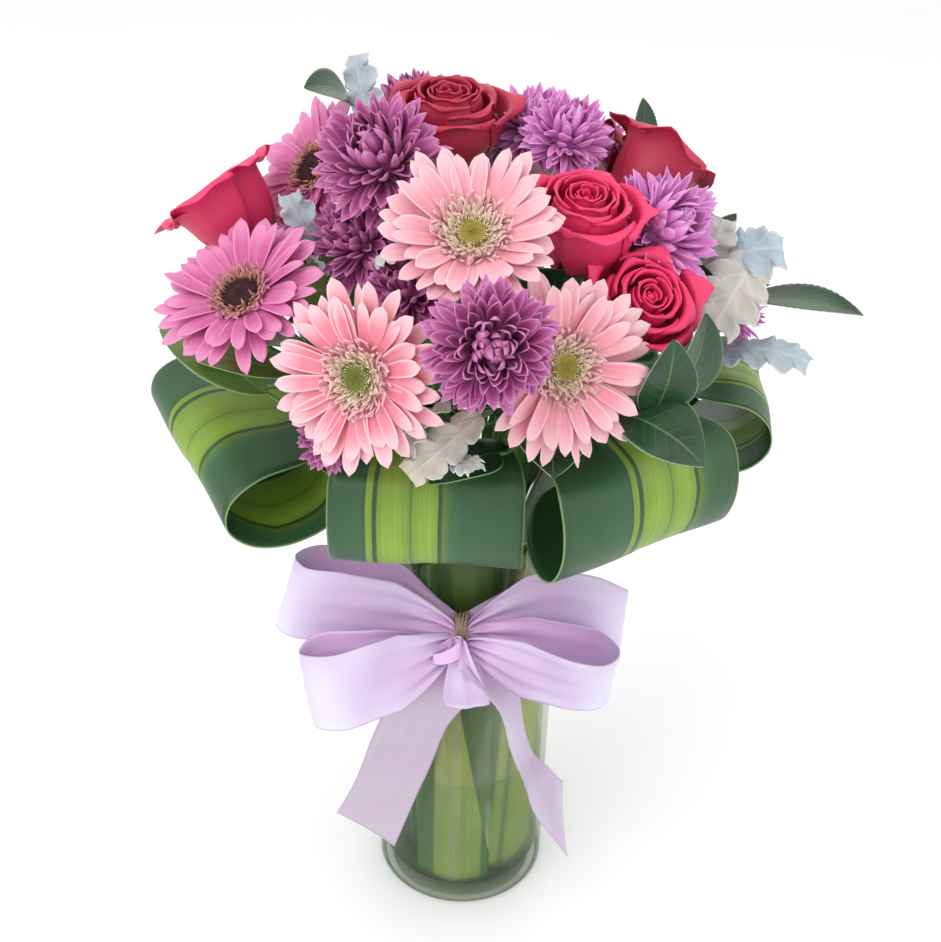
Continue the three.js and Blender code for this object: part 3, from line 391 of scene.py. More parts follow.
def petal_outline(t, widest, foot=0.4, blunt=2.6):
    """Share of a petal's half width at t along it: it rises from foot with the power 1.3 of a sine
    to 1 at widest, then falls to a rounded point as (1 - f^blunt)^0.6, f from 0 to 1."""
    rising = foot + (1 - foot) * np.sin(0.5 * np.pi * np.clip(t / widest, 0, 1)) ** 1.3
    fall = np.clip((t - widest) / (1 - widest), 0, 1)
    return np.maximum(rising * (1 - fall**blunt) ** 0.6, 0.05)


class Mesh:
    """Grids of points gathered into one mesh, in millimetres. Each grid has its own finish, and a
    tint and a zone that its material reads."""

    def __init__(self):
        self.grids = []

    def add(self, points, finish=0, wrap=False, caps=False, tint=0.5, zone=0.0):
        """points: (rows, columns, 3), or that many blades of it. wrap joins the last column to the
        first, caps close the first and last row. tint and zone: one for all or one a blade, and
        zone may be one a point."""
        points = np.asarray(points, float)
        points = points[None] if points.ndim == 3 else points
        self.grids.append((points, finish, wrap, caps, tint, zone))
        return self

    def close(self, points, finish=0, tint=0.5, zone=0.0):
        """A grid whose columns meet and whose ends are capped."""
        return self.add(points, finish, True, True, tint, zone)

    def rod(self, path, foot, top, sides=12, finish=0):
        """A round rod along the path, whose radius goes evenly from foot to top."""
        return self.close(tube(path, np.linspace(foot, top, len(path)), sides), finish)

    def at(self, middle, turn, lift):
        """Puts all that is gathered in place, as seat does."""
        self.grids = [(seat(points, middle, turn, lift), *rest) for points, *rest in self.grids]
        return self

    def build(self, name, finishes, thickness=0.0):
        """The gathered grids as one object, in metres, with a wall of that thickness, half of it to
        each side. A grid's faces join neighbours i, i + 1 along with j, j + 1 across. On its map U
        is i and V is j, as shares."""
        places, loops, sizes, uvs, slots, tints, zones = [], [], [], [], [], [], []
        start = 0
        for points, finish, wrap, caps, tint, zone in self.grids:
            count, nu, nv = points.shape[:3]
            places.append(points.reshape(-1, 3))
            for values, given in ((tints, tint), (zones, zone)):
                given = np.asarray(given, float)
                if given.ndim == 1:
                    given = given[:, None, None]
                values.append(np.broadcast_to(given, (count, nu, nv)).ravel())
            i = np.arange(nu - 1)[:, None]
            j = np.arange(nv if wrap else nv - 1)[None]
            i, j = np.broadcast_arrays(i, j)
            corners_i = np.stack([i, i, i + 1, i + 1], -1).reshape(-1)
            corners_j = np.stack([j, j + 1, j + 1, j], -1).reshape(-1)
            quad = corners_i * nv + corners_j % nv
            firsts = start + np.arange(count)[:, None] * nu * nv
            loops.append((quad[None] + firsts).ravel())
            sizes.append(np.full(count * len(quad) // 4, 4))
            flat = np.stack([corners_i / (nu - 1), corners_j / (nv if wrap else nv - 1)], -1)
            uvs.append(np.tile(flat, (count, 1)))
            if caps:
                ring = np.arange(nv)
                for row, order in ((0, ring[::-1]), (nu - 1, ring)):
                    loops.append((row * nv + order[None] + firsts).ravel())
                    sizes.append(np.full(count, nv))
                    flat = np.stack([0 * ring + row / (nu - 1), order / nv], -1)
                    uvs.append(np.tile(flat, (count, 1)))
            slots.append(np.full(sum(map(len, sizes)) - sum(map(len, slots)), finish))
            start += count * nu * nv
        sizes = np.concatenate(sizes)
        mesh = bpy.data.meshes.new(name)
        mesh.vertices.add(start)
        mesh.vertices.foreach_set("co", (np.concatenate(places) * MM).astype(np.float32).ravel())
        mesh.loops.add(int(sizes.sum()))
        mesh.loops.foreach_set("vertex_index", np.concatenate(loops).astype(np.int32))
        mesh.polygons.add(len(sizes))
        begins = np.concatenate([[0], np.cumsum(sizes)[:-1]])
        mesh.polygons.foreach_set("loop_start", begins.astype(np.int32))
        mesh.polygons.foreach_set("material_index", np.concatenate(slots).astype(np.int32))
        mesh.polygons.foreach_set("use_smooth", np.ones(len(sizes), bool))
        flat = np.concatenate(uvs).astype(np.float32).ravel()
        mesh.uv_layers.new(name="UVMap").data.foreach_set("uv", flat)
        for title, values in (("tint", tints), ("zone", zones)):
            layer = mesh.attributes.new(title, "FLOAT", "POINT")
            layer.data.foreach_set("value", np.concatenate(values).astype(np.float32))
        mesh.update(calc_edges=True)
        mesh.validate()
        for finish in finishes:
            mesh.materials.append(finish)
        piece = bpy.data.objects.new(name, mesh)
        bpy.context.scene.collection.objects.link(piece)
        if thickness:
            wall = piece.modifiers.new("Wall", "SOLIDIFY")
            wall.thickness = thickness * MM
            wall.offset = 0
        return piece


def stand_for(piece, node):
    """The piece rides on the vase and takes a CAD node's place."""
    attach(piece, "root")
    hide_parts(node)
    return piece


# ---------------------------------------------------------------- materials


def linear(code):
    """A hexadecimal screen colour as linear red, green and blue: c / 12.92 where it is darkest, and
    ((c + 0.055) / 1.055)^2.4 above that."""
    channels = np.array([int(code[i : i + 2], 16) / 255 for i in (0, 2, 4)])
    low = channels <= 0.04045
    return tuple(np.where(low, channels / 12.92, ((channels + 0.055) / 1.055) ** 2.4))


def scaled(colour, factor):
    """A linear colour made darker or lighter: each channel times the factor, and at most 1."""
    return tuple(min(1.0, c * factor) for c in colour[:3])


class Finish:
    """A material's nodes, each made by one short call that gives back its main output. What goes
    into a node is a number, a colour, linear or as a hexadecimal word, or another node's output."""

    def __init__(self, name, **sockets):
        self.material = bpy.data.materials.new(name)
        self.material.use_nodes = True
        self.tree = self.material.node_tree
        self.shader = self.tree.nodes["Principled BSDF"]
        self.shine(**sockets)

    def shine(self, **sockets):
        """Feeds the shader's sockets, named with _ for each space, and gives the material."""
        for name, value in sockets.items():
            self.feed(self.shader.inputs[name.replace("_", " ")], value)
        return self.material

    def feed(self, socket, value):
        """Links another node's output to the socket, or sets the socket's value."""
        value = linear(value) if isinstance(value, str) else value
        if isinstance(value, bpy.types.NodeSocket):
            self.tree.links.new(value, socket)
        elif hasattr(value, "__len__") and len(value) == 3 and socket.type == "RGBA":
            socket.default_value = (*value, 1)
        else:
            socket.default_value = value

    def node(self, kind, inputs=(), output=0, **settings):
        """A node of that kind, with its settings and inputs."""
        made = self.tree.nodes.new(kind)
        for key, value in settings.items():
            setattr(made, key, value)
        for key, value in dict(inputs).items():
            self.feed(made.inputs[key], value)
        return made.outputs[output]

    def across(self):
        """The piece's own map, and its two parts: U along and V across."""
        place = self.node("ShaderNodeUVMap", uv_map="UVMap")
        split = self.node("ShaderNodeSeparateXYZ", {0: place}).node
        return place, split.outputs[0], split.outputs[1]

    def value(self, name):
        """A point's tint or zone."""
        return self.node("ShaderNodeAttribute", output=2, attribute_name=name)

    def math(self, operation, first, second=0.0):
        """One sum on two values."""
        return self.node("ShaderNodeMath", {0: first, 1: second}, operation=operation)

    def times(self, first, second):
        """The first value times the second."""
        return self.math("MULTIPLY", first, second)

    def plus(self, first, second):
        """The two values added."""
        return self.math("ADD", first, second)

    def minus(self, first, second):
        """The first value less the second."""
        return self.math("SUBTRACT", first, second)

    def larger(self, first, second):
        """The larger of two values."""
        return self.math("MAXIMUM", first, second)

    def apart(self, first, second):
        """How far apart two values are."""
        return self.math("ABSOLUTE", self.minus(first, second))

    def noise(self, vector, scale, detail, rough=0.5):
        """Soft noise, read at the vector."""
        return self.node("ShaderNodeTexNoise", {"Vector": vector, "Scale": scale, "Detail": detail,
                                                "Roughness": rough})

    def patches(self, scale, detail=2.0, rough=0.5):
        """Noise in the piece's own space, about scale patches a metre."""
        return self.noise(self.node("ShaderNodeTexCoord", output=3), scale, detail, rough)

    def streaks(self, place, along, across, detail):
        """Noise on the piece's map, about that many patches along it and across it."""
        drawn_out = self.node("ShaderNodeMapping", {0: place, 3: (along, across, 1)})
        return self.noise(drawn_out, 1.0, detail)

    def side_veins(self, u, side, slope, count):
        """Waves that rise from a midrib: the sine of count (u - slope side)."""
        return self.math("SINE", self.times(self.minus(u, self.times(side, slope)), count))

    def remap(self, value, low, high, to_low=0.0, to_high=1.0):
        """The value's way from low to high, held within them, as the way from to_low to to_high."""
        return self.node("ShaderNodeMapRange", {0: value, 1: low, 2: high, 3: to_low, 4: to_high})

    def ramp(self, factor, *stops):
        """A colour read off between stops of (position, linear colour)."""
        made = self.tree.nodes.new("ShaderNodeValToRGB")
        elements = made.color_ramp.elements
        while len(elements) < len(stops):
            elements.new(0.5)
        for element, (position, colour) in zip(elements, stops):
            element.position = position
            element.color = (*colour, 1)
        self.tree.links.new(factor, made.inputs[0])
        return made.outputs[0]

    def mix(self, factor, first, second):
        """The first colour where the factor is 0, the second where it is 1."""
        return self.node("ShaderNodeMix", {0: factor, 6: first, 7: second}, 2, data_type="RGBA")

    def lay(self, under, over, value, low, high, most=1.0):
        """One colour laid over another as the value goes from low to high, up to that share."""
        return self.mix(self.remap(value, low, high, 0, most), under, over)

    def painted(self, colour, height, distance, strength):
        """The material, with its colour and its bumps, which stand out by millimetres."""
        bump = self.node("ShaderNodeBump", {"Height": height, "Distance": distance * MM,
                                            "Strength": strength})
        return self.shine(Base_Color=colour, Normal=bump)


def ray_petal(name, colour, tip, floret, speck):
    """Gerbera petals: deep at the foot, paler at the tip and rim, with fine veins along them, and
    paler as a whole with their tint. Where the zone is over a half they are short florets, which go
    from the petals' colour in the outer row to cream in the inner one."""
    f = Finish(name, Roughness=0.5, Sheen_Weight=0.12)
    place, u, v = f.across()
    tint, zone = f.value("tint"), f.value("zone")
    ray = f.ramp(u, (0.0, scaled(colour, 0.6)), (0.3, scaled(colour, 0.9)), (0.62, colour),
                 (0.9, tip), (1.0, scaled(tip, 1.1)))
    ray = f.lay(ray, tip, tint, 0, 1, 0.6)
    rim = f.apart(v, 0.5)
    veins = f.streaks(place, 1.2, 20, 3)
    ray = f.lay(ray, scaled(colour, 0.72), veins, 0.42, 0.75, 0.5)
    ray = f.lay(ray, scaled(tip, 1.2), rim, 0.38, 0.5, 0.8)
    pale = f.lay(speck, floret, u, 0.2, 1.0)
    blush = f.lay(scaled(colour, 0.75), scaled(tip, 1.05), u, 0.1, 0.9)
    short = f.lay(blush, pale, zone, 0.7, 0.95)
    short = f.lay(short, scaled(floret, 1.15), tint, 0.3, 1, 0.3)
    return f.painted(f.lay(ray, short, zone, 0.4, 0.6), veins, 0.35, 0.6)


def button(name, middle, ring, dark):
    """The gerbera's disc: the middle, a ring of open florets, and dark specks between them, with
    painted shade that darkens each floret towards its foot, down between the florets.
    """
    f = Finish(name, Roughness=0.75)
    zone, tint = f.value("zone"), f.value("tint")
    _, u, _ = f.across()
    base = f.ramp(zone, (0.0, scaled(middle, 0.9)), (0.6, middle), (0.82, ring), (1.0, ring))
    specks = f.times(f.remap(tint, 0.55, 0.75), f.remap(zone, 0.6, 0.9, 0.25, 0.9))
    base = f.mix(specks, base, dark)
    # Painted shade: darker towards each floret's foot, where shade falls between the florets.
    base = f.lay(base, scaled(dark, 0.8), u, 0.5, 0.0, 0.7)
    return f.painted(base, f.patches(900), 0.15, 0.5)


def mum_petal(name, colour, edge):
    """Chrysanthemum petals with a paler edge and tip, and painted shade: nearly black at their foot
    deep in the head, and darker on the inner petals over the hollow and on the ball in the middle.
    """
    f = Finish(name, Roughness=0.5, Sheen_Weight=0.12)
    place, u, v = f.across()
    tint, zone = f.value("tint"), f.value("zone")
    # Painted shade: nearly black at the petal's foot, deep in the head.
    body = f.ramp(u, (0.0, scaled(colour, 0.2)), (0.35, scaled(colour, 0.55)), (0.68, colour),
                  (0.95, edge), (1.0, scaled(edge, 1.1)))
    body = f.lay(body, edge, f.apart(v, 0.5), 0.25, 0.5, 0.55)
    body = f.lay(body, edge, tint, 0, 1, 0.4)
    # Painted shade: darker on the inner petals over the hollow and on the ball in the middle.
    body = f.lay(body, scaled(colour, 0.5), zone, 0.55, 0.95, 0.55)
    veins = f.streaks(place, 1.5, 14, 2)
    body = f.lay(body, scaled(colour, 0.6), veins, 0.45, 0.8, 0.5)
    return f.painted(body, veins, 0.3, 0.6)


def rose_petal(name, colour, lip):
    """Velvety rose petals with a brighter curled lip, and painted shade: dark at each petal's foot
    deep in the bloom, and darker on the inner petals.
    """
    f = Finish(name, Roughness=0.5, Sheen_Weight=0.2, Sheen_Roughness=0.4, Sheen_Tint=lip)
    place, u, _ = f.across()
    zone, tint = f.value("zone"), f.value("tint")
    # Painted shade: dark at the petal's foot, deep in the bloom.
    body = f.ramp(u, (0.0, scaled(colour, 0.45)), (0.4, scaled(colour, 0.8)), (0.8, colour),
                  (0.94, lip), (1.0, scaled(lip, 1.1)))
    # Painted shade: darker on the inner petals and the core.
    body = f.lay(body, scaled(colour, 0.8), zone, 0, 1, 0.3)
    body = f.lay(body, scaled(colour, 0.62), f.patches(70, 3), 0.35, 0.7, 0.35)
    body = f.lay(body, lip, tint, 0, 1, 0.25)
    return f.painted(body, f.streaks(place, 2, 26, 3), 0.22, 0.5)


def stem_green(name, colour):
    """Green stems with fine ribs along them."""
    f = Finish(name, Roughness=0.5)
    place, *_ = f.across()
    ribs = f.streaks(place, 3, 30, 2)
    body = f.lay(scaled(colour, 0.7), scaled(colour, 1.25), f.patches(40, 3), 0.3, 0.7)
    body = f.lay(body, scaled(colour, 0.5), ribs, 0.4, 0.7, 0.4)
    return f.painted(body, ribs, 0.2, 0.5)


def leaf_green(name, colour, vein):
    """Glossy leaves with a pale midrib, faint side veins that rise from it and a thin pale edge,
    yellower with their tint."""
    f = Finish(name, Roughness=0.3, Specular_IOR_Level=0.5)
    _, u, v = f.across()
    tint = f.value("tint")
    side = f.apart(v, 0.5)
    body = f.lay(scaled(colour, 0.6), scaled(colour, 1.35), f.patches(45, 3), 0.3, 0.7)
    body = f.lay(body, "7f9f45", tint, 0.5, 1, 0.8)
    waves = f.side_veins(u, side, 0.45, 52)
    veins = f.times(f.remap(waves, 0.86, 1.0), f.remap(side, 0.5, 0.1))
    midrib = f.remap(side, 0.03, 0.0)
    body = f.mix(f.times(veins, 0.06), body, vein)
    body = f.mix(f.times(midrib, 0.3), body, vein)
    body = f.lay(body, "a9bf8a", side, 0.478, 0.5, 0.7)
    return f.painted(body, f.plus(midrib, f.times(veins, 0.6)), 0.4, 0.6)


def silver_felt(name, colour):
    """Felted silver leaves: woolly, with soft veins and a white edge, from blue grey to beige with
    their tint."""
    f = Finish(name, Roughness=0.9, Sheen_Weight=0.4, Sheen_Roughness=0.6)
    _, u, v = f.across()
    tint = f.value("tint")
    side = f.apart(v, 0.5)
    wool = f.patches(700, 4, 0.7)
    body = f.mix(tint, scaled(colour, 0.85), "cbbfae")
    body = f.lay(body, scaled(colour, 0.6), f.patches(60, 3), 0.35, 0.65, 0.4)
    waves = f.side_veins(u, side, 0.7, 22)
    veins = f.larger(f.remap(waves, 0.75, 1.0, 0, 0.6), f.remap(side, 0.05, 0.0))
    body = f.mix(f.times(veins, 0.3), body, "e8ece4")
    body = f.lay(body, "f2f2ec", side, 0.455, 0.5, 0.8)
    return f.painted(body, f.plus(f.times(wool, 0.5), veins), 0.35, 0.8)


def strap_green(name, colour, lime, middle, drift):
    """Strap leaves: dark green with lime stripes along them about middle, parted by dark lines,
    and a thin cut edge that shows pale. Towards its tip the stripes drift sideways."""
    f = Finish(name, Roughness=0.36, Specular_IOR_Level=0.45)
    place, u, v = f.across()
    wander = f.times(f.minus(f.streaks(place, 5, 2, 2), 0.5), 0.035)
    lane = f.minus(f.plus(v, wander), f.remap(u, 0.6, 0.75, 0, drift))
    dark, shade, pale = scaled(colour, 0.8), scaled(colour, 0.55), scaled(lime, 1.25)
    edge = scaled(colour, 0.7)
    stripes = [(-1.5, colour), (-1.32, dark), (-1.3, lime), (-1.12, lime), (-1.1, shade),
               (-0.98, dark), (-0.95, lime), (-0.4, pale), (0.02, lime), (0.04, shade),
               (0.07, lime), (0.6, pale), (0.84, lime), (0.86, shade), (0.95, dark),
               (1.0, scaled(lime, 0.6)), (1.25, scaled(colour, 1.3)), (1.5, colour)]
    stops = [(middle + STRIPE_HALF * at, tone) for at, tone in stripes]
    body = f.ramp(lane, (0.0, edge), *stops, (1.0, edge))
    grain = f.streaks(place, 2.5, 150, 3)
    body = f.lay(body, scaled(colour, 0.75), grain, 0.35, 0.75, 0.4)
    body = f.lay(body, "9dbb7c", f.apart(v, 0.5), 0.489, 0.5, 0.8)
    body = f.lay(body, scaled(colour, 0.5), f.patches(25), 0.3, 0.7, 0.25)
    return f.painted(body, grain, 0.25, 0.45)


def satin(name, colour, light, fold):
    """Satin ribbon: a close shine with very fine threads along and across it, broad painted
    highlight bands across it, painted shade that greys the tails, and painted shade as a pinker
    tone in the folds by the knot and on the inside of the loops."""
    f = Finish(name, Roughness=0.32, Sheen_Weight=0.2, Sheen_Roughness=0.35,
               Specular_IOR_Level=0.55)
    place, _, v = f.across()
    zone = f.value("zone")
    threads = f.streaks(place, 8, 900, 2)
    weft = f.streaks(place, 1500, 6, 1)
    highlight_bands = f.streaks(place, 3.4, 0.5, 1)
    # Painted highlight: the light colour laid in broad bands across the ribbon.
    body = f.lay(colour, light, highlight_bands, 0.36, 0.66)
    # Painted shade: greyer on the tails, as their tint says.
    body = f.lay(body, "bfafc0", f.value("tint"), 0, 1, 0.85)
    body = f.lay(body, scaled(colour, 0.8), threads, 0.35, 0.7, 0.1)
    # Painted shade: the pinker fold colour in the folds by the knot and inside the loops.
    body = f.mix(f.times(zone, 0.65), body, fold)
    body = f.lay(body, scaled(colour, 0.55), f.apart(v, 0.5), 0.486, 0.5, 0.5)
    return f.painted(body, f.plus(threads, weft), 0.03, 0.5)


def raffia(name, colour):
    """Dry cord: fibres along the turn."""
    f = Finish(name, Roughness=0.85)
    place, *_ = f.across()
    fibres = f.streaks(place, 60, 8, 3)
    body = f.lay(scaled(colour, 0.6), scaled(colour, 1.3), fibres, 0.3, 0.7)
    return f.painted(body, fibres, 0.3, 0.8)


def lining_green(name, colour, lime, rib, lanes, throat):
    """The strap leaves inside the glass: olive green with lime bands and a tan midrib, each lane
    given by where it starts and its colour, 0 green, 1 lime, 2 the midrib. Where its zone is 1 the
    leaf is dark. At the throat, above the tie, two leaf bases meet with a lime wedge between them:
    the wedge is where 2.3 (u - 0.875) is more than the distance of v from 0.53. There, where throat
    is 1, both bases and the wedge are painted lighter than the leaf's own colours, as painted light
    against the shade of the loops above."""
    f = Finish(name, Roughness=0.4)
    place, u, v = f.across()
    wander = f.times(f.minus(f.streaks(place, 3, 2, 2), 0.5), 0.05)
    lane = f.plus(v, wander)
    shades, blur = (colour, lime, rib), 0.012
    stops = [(0.0, shades[lanes[0][1]])]
    for (start, kind), (_, last) in zip(lanes[1:], lanes):
        stops += [(start - blur, shades[last]), (start + blur, shades[kind])]
    body = f.ramp(lane, *stops, (1.0, shades[lanes[-1][1]]))
    grain = f.streaks(place, 2.5, 70, 3)
    body = f.lay(body, scaled(colour, 0.9), grain, 0.35, 0.75, 0.5)
    body = f.lay(body, scaled(colour, 0.8), f.patches(30), 0.4, 0.7, 0.25)
    body = f.mix(f.times(f.value("zone"), 0.85), body, scaled(colour, 0.62))
    # Painted light at the throat: both leaf bases lighter than their own green.
    rise = f.remap(u, 0.82, 0.86, 0, throat)
    body = f.mix(rise, body, f.lay(scaled(colour, 1.3), "9db596", v, 0.52, 0.54))
    off = f.apart(v, 0.53)
    wedge = f.minus(f.times(f.minus(u, 0.875), 2.3), off)
    # The lime wedge, painted lighter than the lime, as painted light.
    body = f.mix(f.times(f.remap(wedge, -0.01, 0.01), rise), body, scaled(lime, 1.2))
    line = f.remap(f.math("ABSOLUTE", wedge), 0.022, 0.008)
    body = f.mix(f.times(line, f.times(rise, 0.6)), body, scaled(colour, 0.4))
    return f.painted(body, grain, 0.25, 0.45)


def clear(name, colour, ior, through):
    """Glass or water: a clear wall, greyer at the two ends of its profile where it is thick, that
    bends what is behind it only a little, since most of the view goes straight through. Shadows
    see straight through it too, so light reaches the stems."""
    f = Finish(name, Roughness=0.0, IOR=ior, Transmission_Weight=1.0)
    ripple = f.patches(30)
    _, u, _ = f.across()
    thick = f.larger(f.remap(u, 0.13, 0.1), f.remap(u, 0.89, 0.93))
    f.painted(f.mix(thick, colour, scaled(colour, 0.6)), ripple, 0.04, 0.3)
    straight = f.larger(f.node("ShaderNodeLightPath", output=1), 0.78)
    through = f.mix(thick, through, scaled(through, 0.78))
    open_way = f.node("ShaderNodeBsdfTransparent", {0: through})
    both = f.node("ShaderNodeMixShader", {0: straight, 1: f.shader.outputs[0], 2: open_way})
    f.tree.links.new(both, f.tree.nodes["Material Output"].inputs[0])
    return f.material


def pale_floor(name, colour):
    """A matt pale tabletop."""
    f = Finish(name, Roughness=0.8)
    return f.shine(Base_Color=f.lay(scaled(colour, 0.985), colour, f.patches(3), 0.3, 0.7))


# ---------------------------------------------------------------- heads, in their own frames


def gerbera_petals(radius, cup, pale, rays, collar, rng):
    """Two whorls of ray petals and a collar of rows of short florets, which curl in at their tips.
    A ray's centre line rises from the hub by the tangent of the cup times the distance, less a
    little of its square, as in z = base + rise (r - hub) - 0.0012 (r - hub)^2, and its tip droops
    or lifts on its own. It swings to one side with the square of the way along it, and rolls about
    its own length. collar gives each row's reach, its height and how pale it is."""
    mesh = Mesh()
    rise = math.tan(math.radians(cup))

    def whorl(count, reach, base, lift, half, start, swing, zone=0.0, spread=1.0, sag=0.0012):
        """A ring of blades from start to reach, evenly turned, each a little off by chance."""
        short = zone > 0
        t = np.linspace(0, 1, 6 if short else 14)[None]
        turn = 2 * np.pi * (np.arange(count) + swing) / count + rng.normal(0, 0.04 * spread, count)
        length = reach * (1 - 0.15 * rng.random(count) ** 1.5)[:, None]
        wide = half * (0.78 + 0.32 * rng.random(count))[:, None]
        slope = lift + rng.normal(0, 0.07 * spread, count)[:, None]
        bend = rng.normal(0, 1.9 * spread, count)[:, None] * t**2
        tip = rng.normal(-0.8, 2.2 * spread, count)[:, None] * t**4
        r = start + (length - start) * (t - (0.28 * t**3 if short else 0))
        z = base + slope * (r - HUB) - sag * (r - HUB) ** 2 + tip + (1.6 * t**3 if short else 0)
        c, s = np.cos(turn)[:, None], np.sin(turn)[:, None]
        centre = np.stack([r * c - bend * s, r * s + bend * c, z], -1)
        roll = rng.normal(0, 0.26 * spread, count)[:, None] * t
        raised = np.stack(np.broadcast_arrays(-slope * c, -slope * s, 1 + 0 * t), -1)
        side = unit(level_side(turn[:, None], t) * np.cos(roll)[..., None]
                    + unit(raised) * np.sin(roll)[..., None])
        outline = petal_outline(t, 0.66 + 0.1 * rng.random(count)[:, None], 0.46, 2.3)
        points = blades(centre, side, wide * outline, 4 if short else 9,
                        rng.normal(0.9 if short else 0.14, 0.16, count), 0 if short else 0.26)
        mesh.add(points, tint=np.clip(0.5 * rng.random(count) + pale, 0, 1), zone=zone)

    whorl(rays, radius, -0.6, rise, 5.2, 7.5, 0.0)
    whorl(rays - 3, 0.86 * radius, 1.2, rise + 0.14, 4.8, 7.5, 0.5)
    for k, (reach, base, cream) in enumerate(collar):
        whorl(46 - 3 * k, reach, base, rise + 0.3 + 0.1 * k, 0.86, reach - 7.5, 0.3 * k, cream,
              spread=1.5, sag=0.004)
    hub = lathe([(0.3, -7), (8, -4.9), (12, -2.2), (15.5, 0.4), (13, 2.6), (0.3, 3.2)], 30)
    return mesh.close(hub, tint=0.1, zone=collar[-1][2])


def gerbera_disc(radius, rng):
    """A low dome set with tiny florets by the golden angle: floret i stands at the distance
    radius times the root of its share i / n, and they grow taller towards the rim."""
    scale = radius / 9
    dome = [(0.2, 2.55), (8.6 * scale, 2.55), (8.9 * scale, 4.2), (7.6 * scale, 5.2), (4.5, 5.4),
            (0.2, 4.7)]
    mesh = Mesh().close(lathe(dome, 30), tint=0.9, zone=0.4)
    n = 210
    i = np.arange(n)
    share = np.sqrt((i + 0.5) / n)
    turn = i * math.radians(GOLDEN_TURN) + rng.normal(0, 0.03, n)
    r = radius * share
    foot = 4.6 - 0.9 * np.clip(share - 0.75, 0, 1) * 3
    high = 1.0 + 1.5 * share**4 + 0.35 * rng.random(n)
    lean = 0.45 * share**2
    a = np.linspace(0, 2 * np.pi, 5, endpoint=False)
    levels = np.array([(0.0, 0.26), (0.6, 0.40), (0.9, 0.32), (1.0, 0.08)])
    up, wide = levels[:, 0], levels[:, 1]
    tall = high[:, None] * up
    middle = polar(r[:, None] + lean[:, None] * tall, turn[:, None], foot[:, None] + tall)
    wide = wide * (1.15 - 0.15 * share)[:, None]
    points = middle[:, :, None] + polar(1, a, 0) * wide[..., None, None]
    return mesh.close(points, tint=rng.random(n), zone=share)


def mum_head(radius, full, rng):
    """Incurved petals set by the golden angle over the upper part of a ball, a little more than
    half of it. A petal's centre line leaves the ball's middle and bends upwards: its elevation
    grows with the power 1.6 of the way along it, most in the middle of the head, where the
    shorter petals close over a hollow."""
    n = 165 if full else 104
    i = np.arange(n)
    share = (i + 0.5) / n
    low = math.sin(math.radians(-22))
    lift = np.degrees(np.arcsin(low + (1 - low) * share**0.94)) + rng.normal(0, 3.2, n)
    turn = i * math.radians(GOLDEN_TURN) + rng.normal(0, 0.11, n)
    inner = np.clip(lift / 90, 0, 1)
    reach = radius * (1.07 - 0.36 * inner**2.2) * (0.8 + 0.24 * rng.random(n))
    t = np.linspace(0, 1, 9)[None]
    climb = (6 + 34 * inner**1.3 + rng.normal(0, 6, n))[:, None]
    elevation = np.radians(lift[:, None] - 6 * (1 - inner[:, None]) + climb * t**1.6)
    rho = radius * 0.22 + (reach[:, None] - radius * 0.22) * t
    centre = polar(rho * np.cos(elevation), turn[:, None], rho * np.sin(elevation))
    swing = rng.normal(0, 0.05 * radius, n)[:, None, None] * t[..., None] ** 2
    flat = level_side(turn[:, None], t)
    centre = centre + swing * flat
    roll = rng.normal(0, 0.3, n)[:, None] * t
    normal = unit(np.cross(np.gradient(centre, axis=1), flat))
    side = unit(flat * np.cos(roll)[..., None] + normal * np.sin(roll)[..., None])
    half = (radius * 0.104 * (1.05 - 0.3 * inner) * (0.75 + 0.45 * rng.random(n)))[:, None]
    widths = half * petal_outline(t, 0.62, 0.42, 2.0)
    points = blades(centre, side, widths, 5, 0.6 + 0.35 * rng.random(n))
    mesh = Mesh().add(points, tint=rng.random(n), zone=inner)
    # The ball in the middle takes zone 1, the darkest painted shade.
    return mesh.close(lathe(arc(0, 0, 0.4 * radius, -60, 88, 9), 20), tint=0.0, zone=1.0)


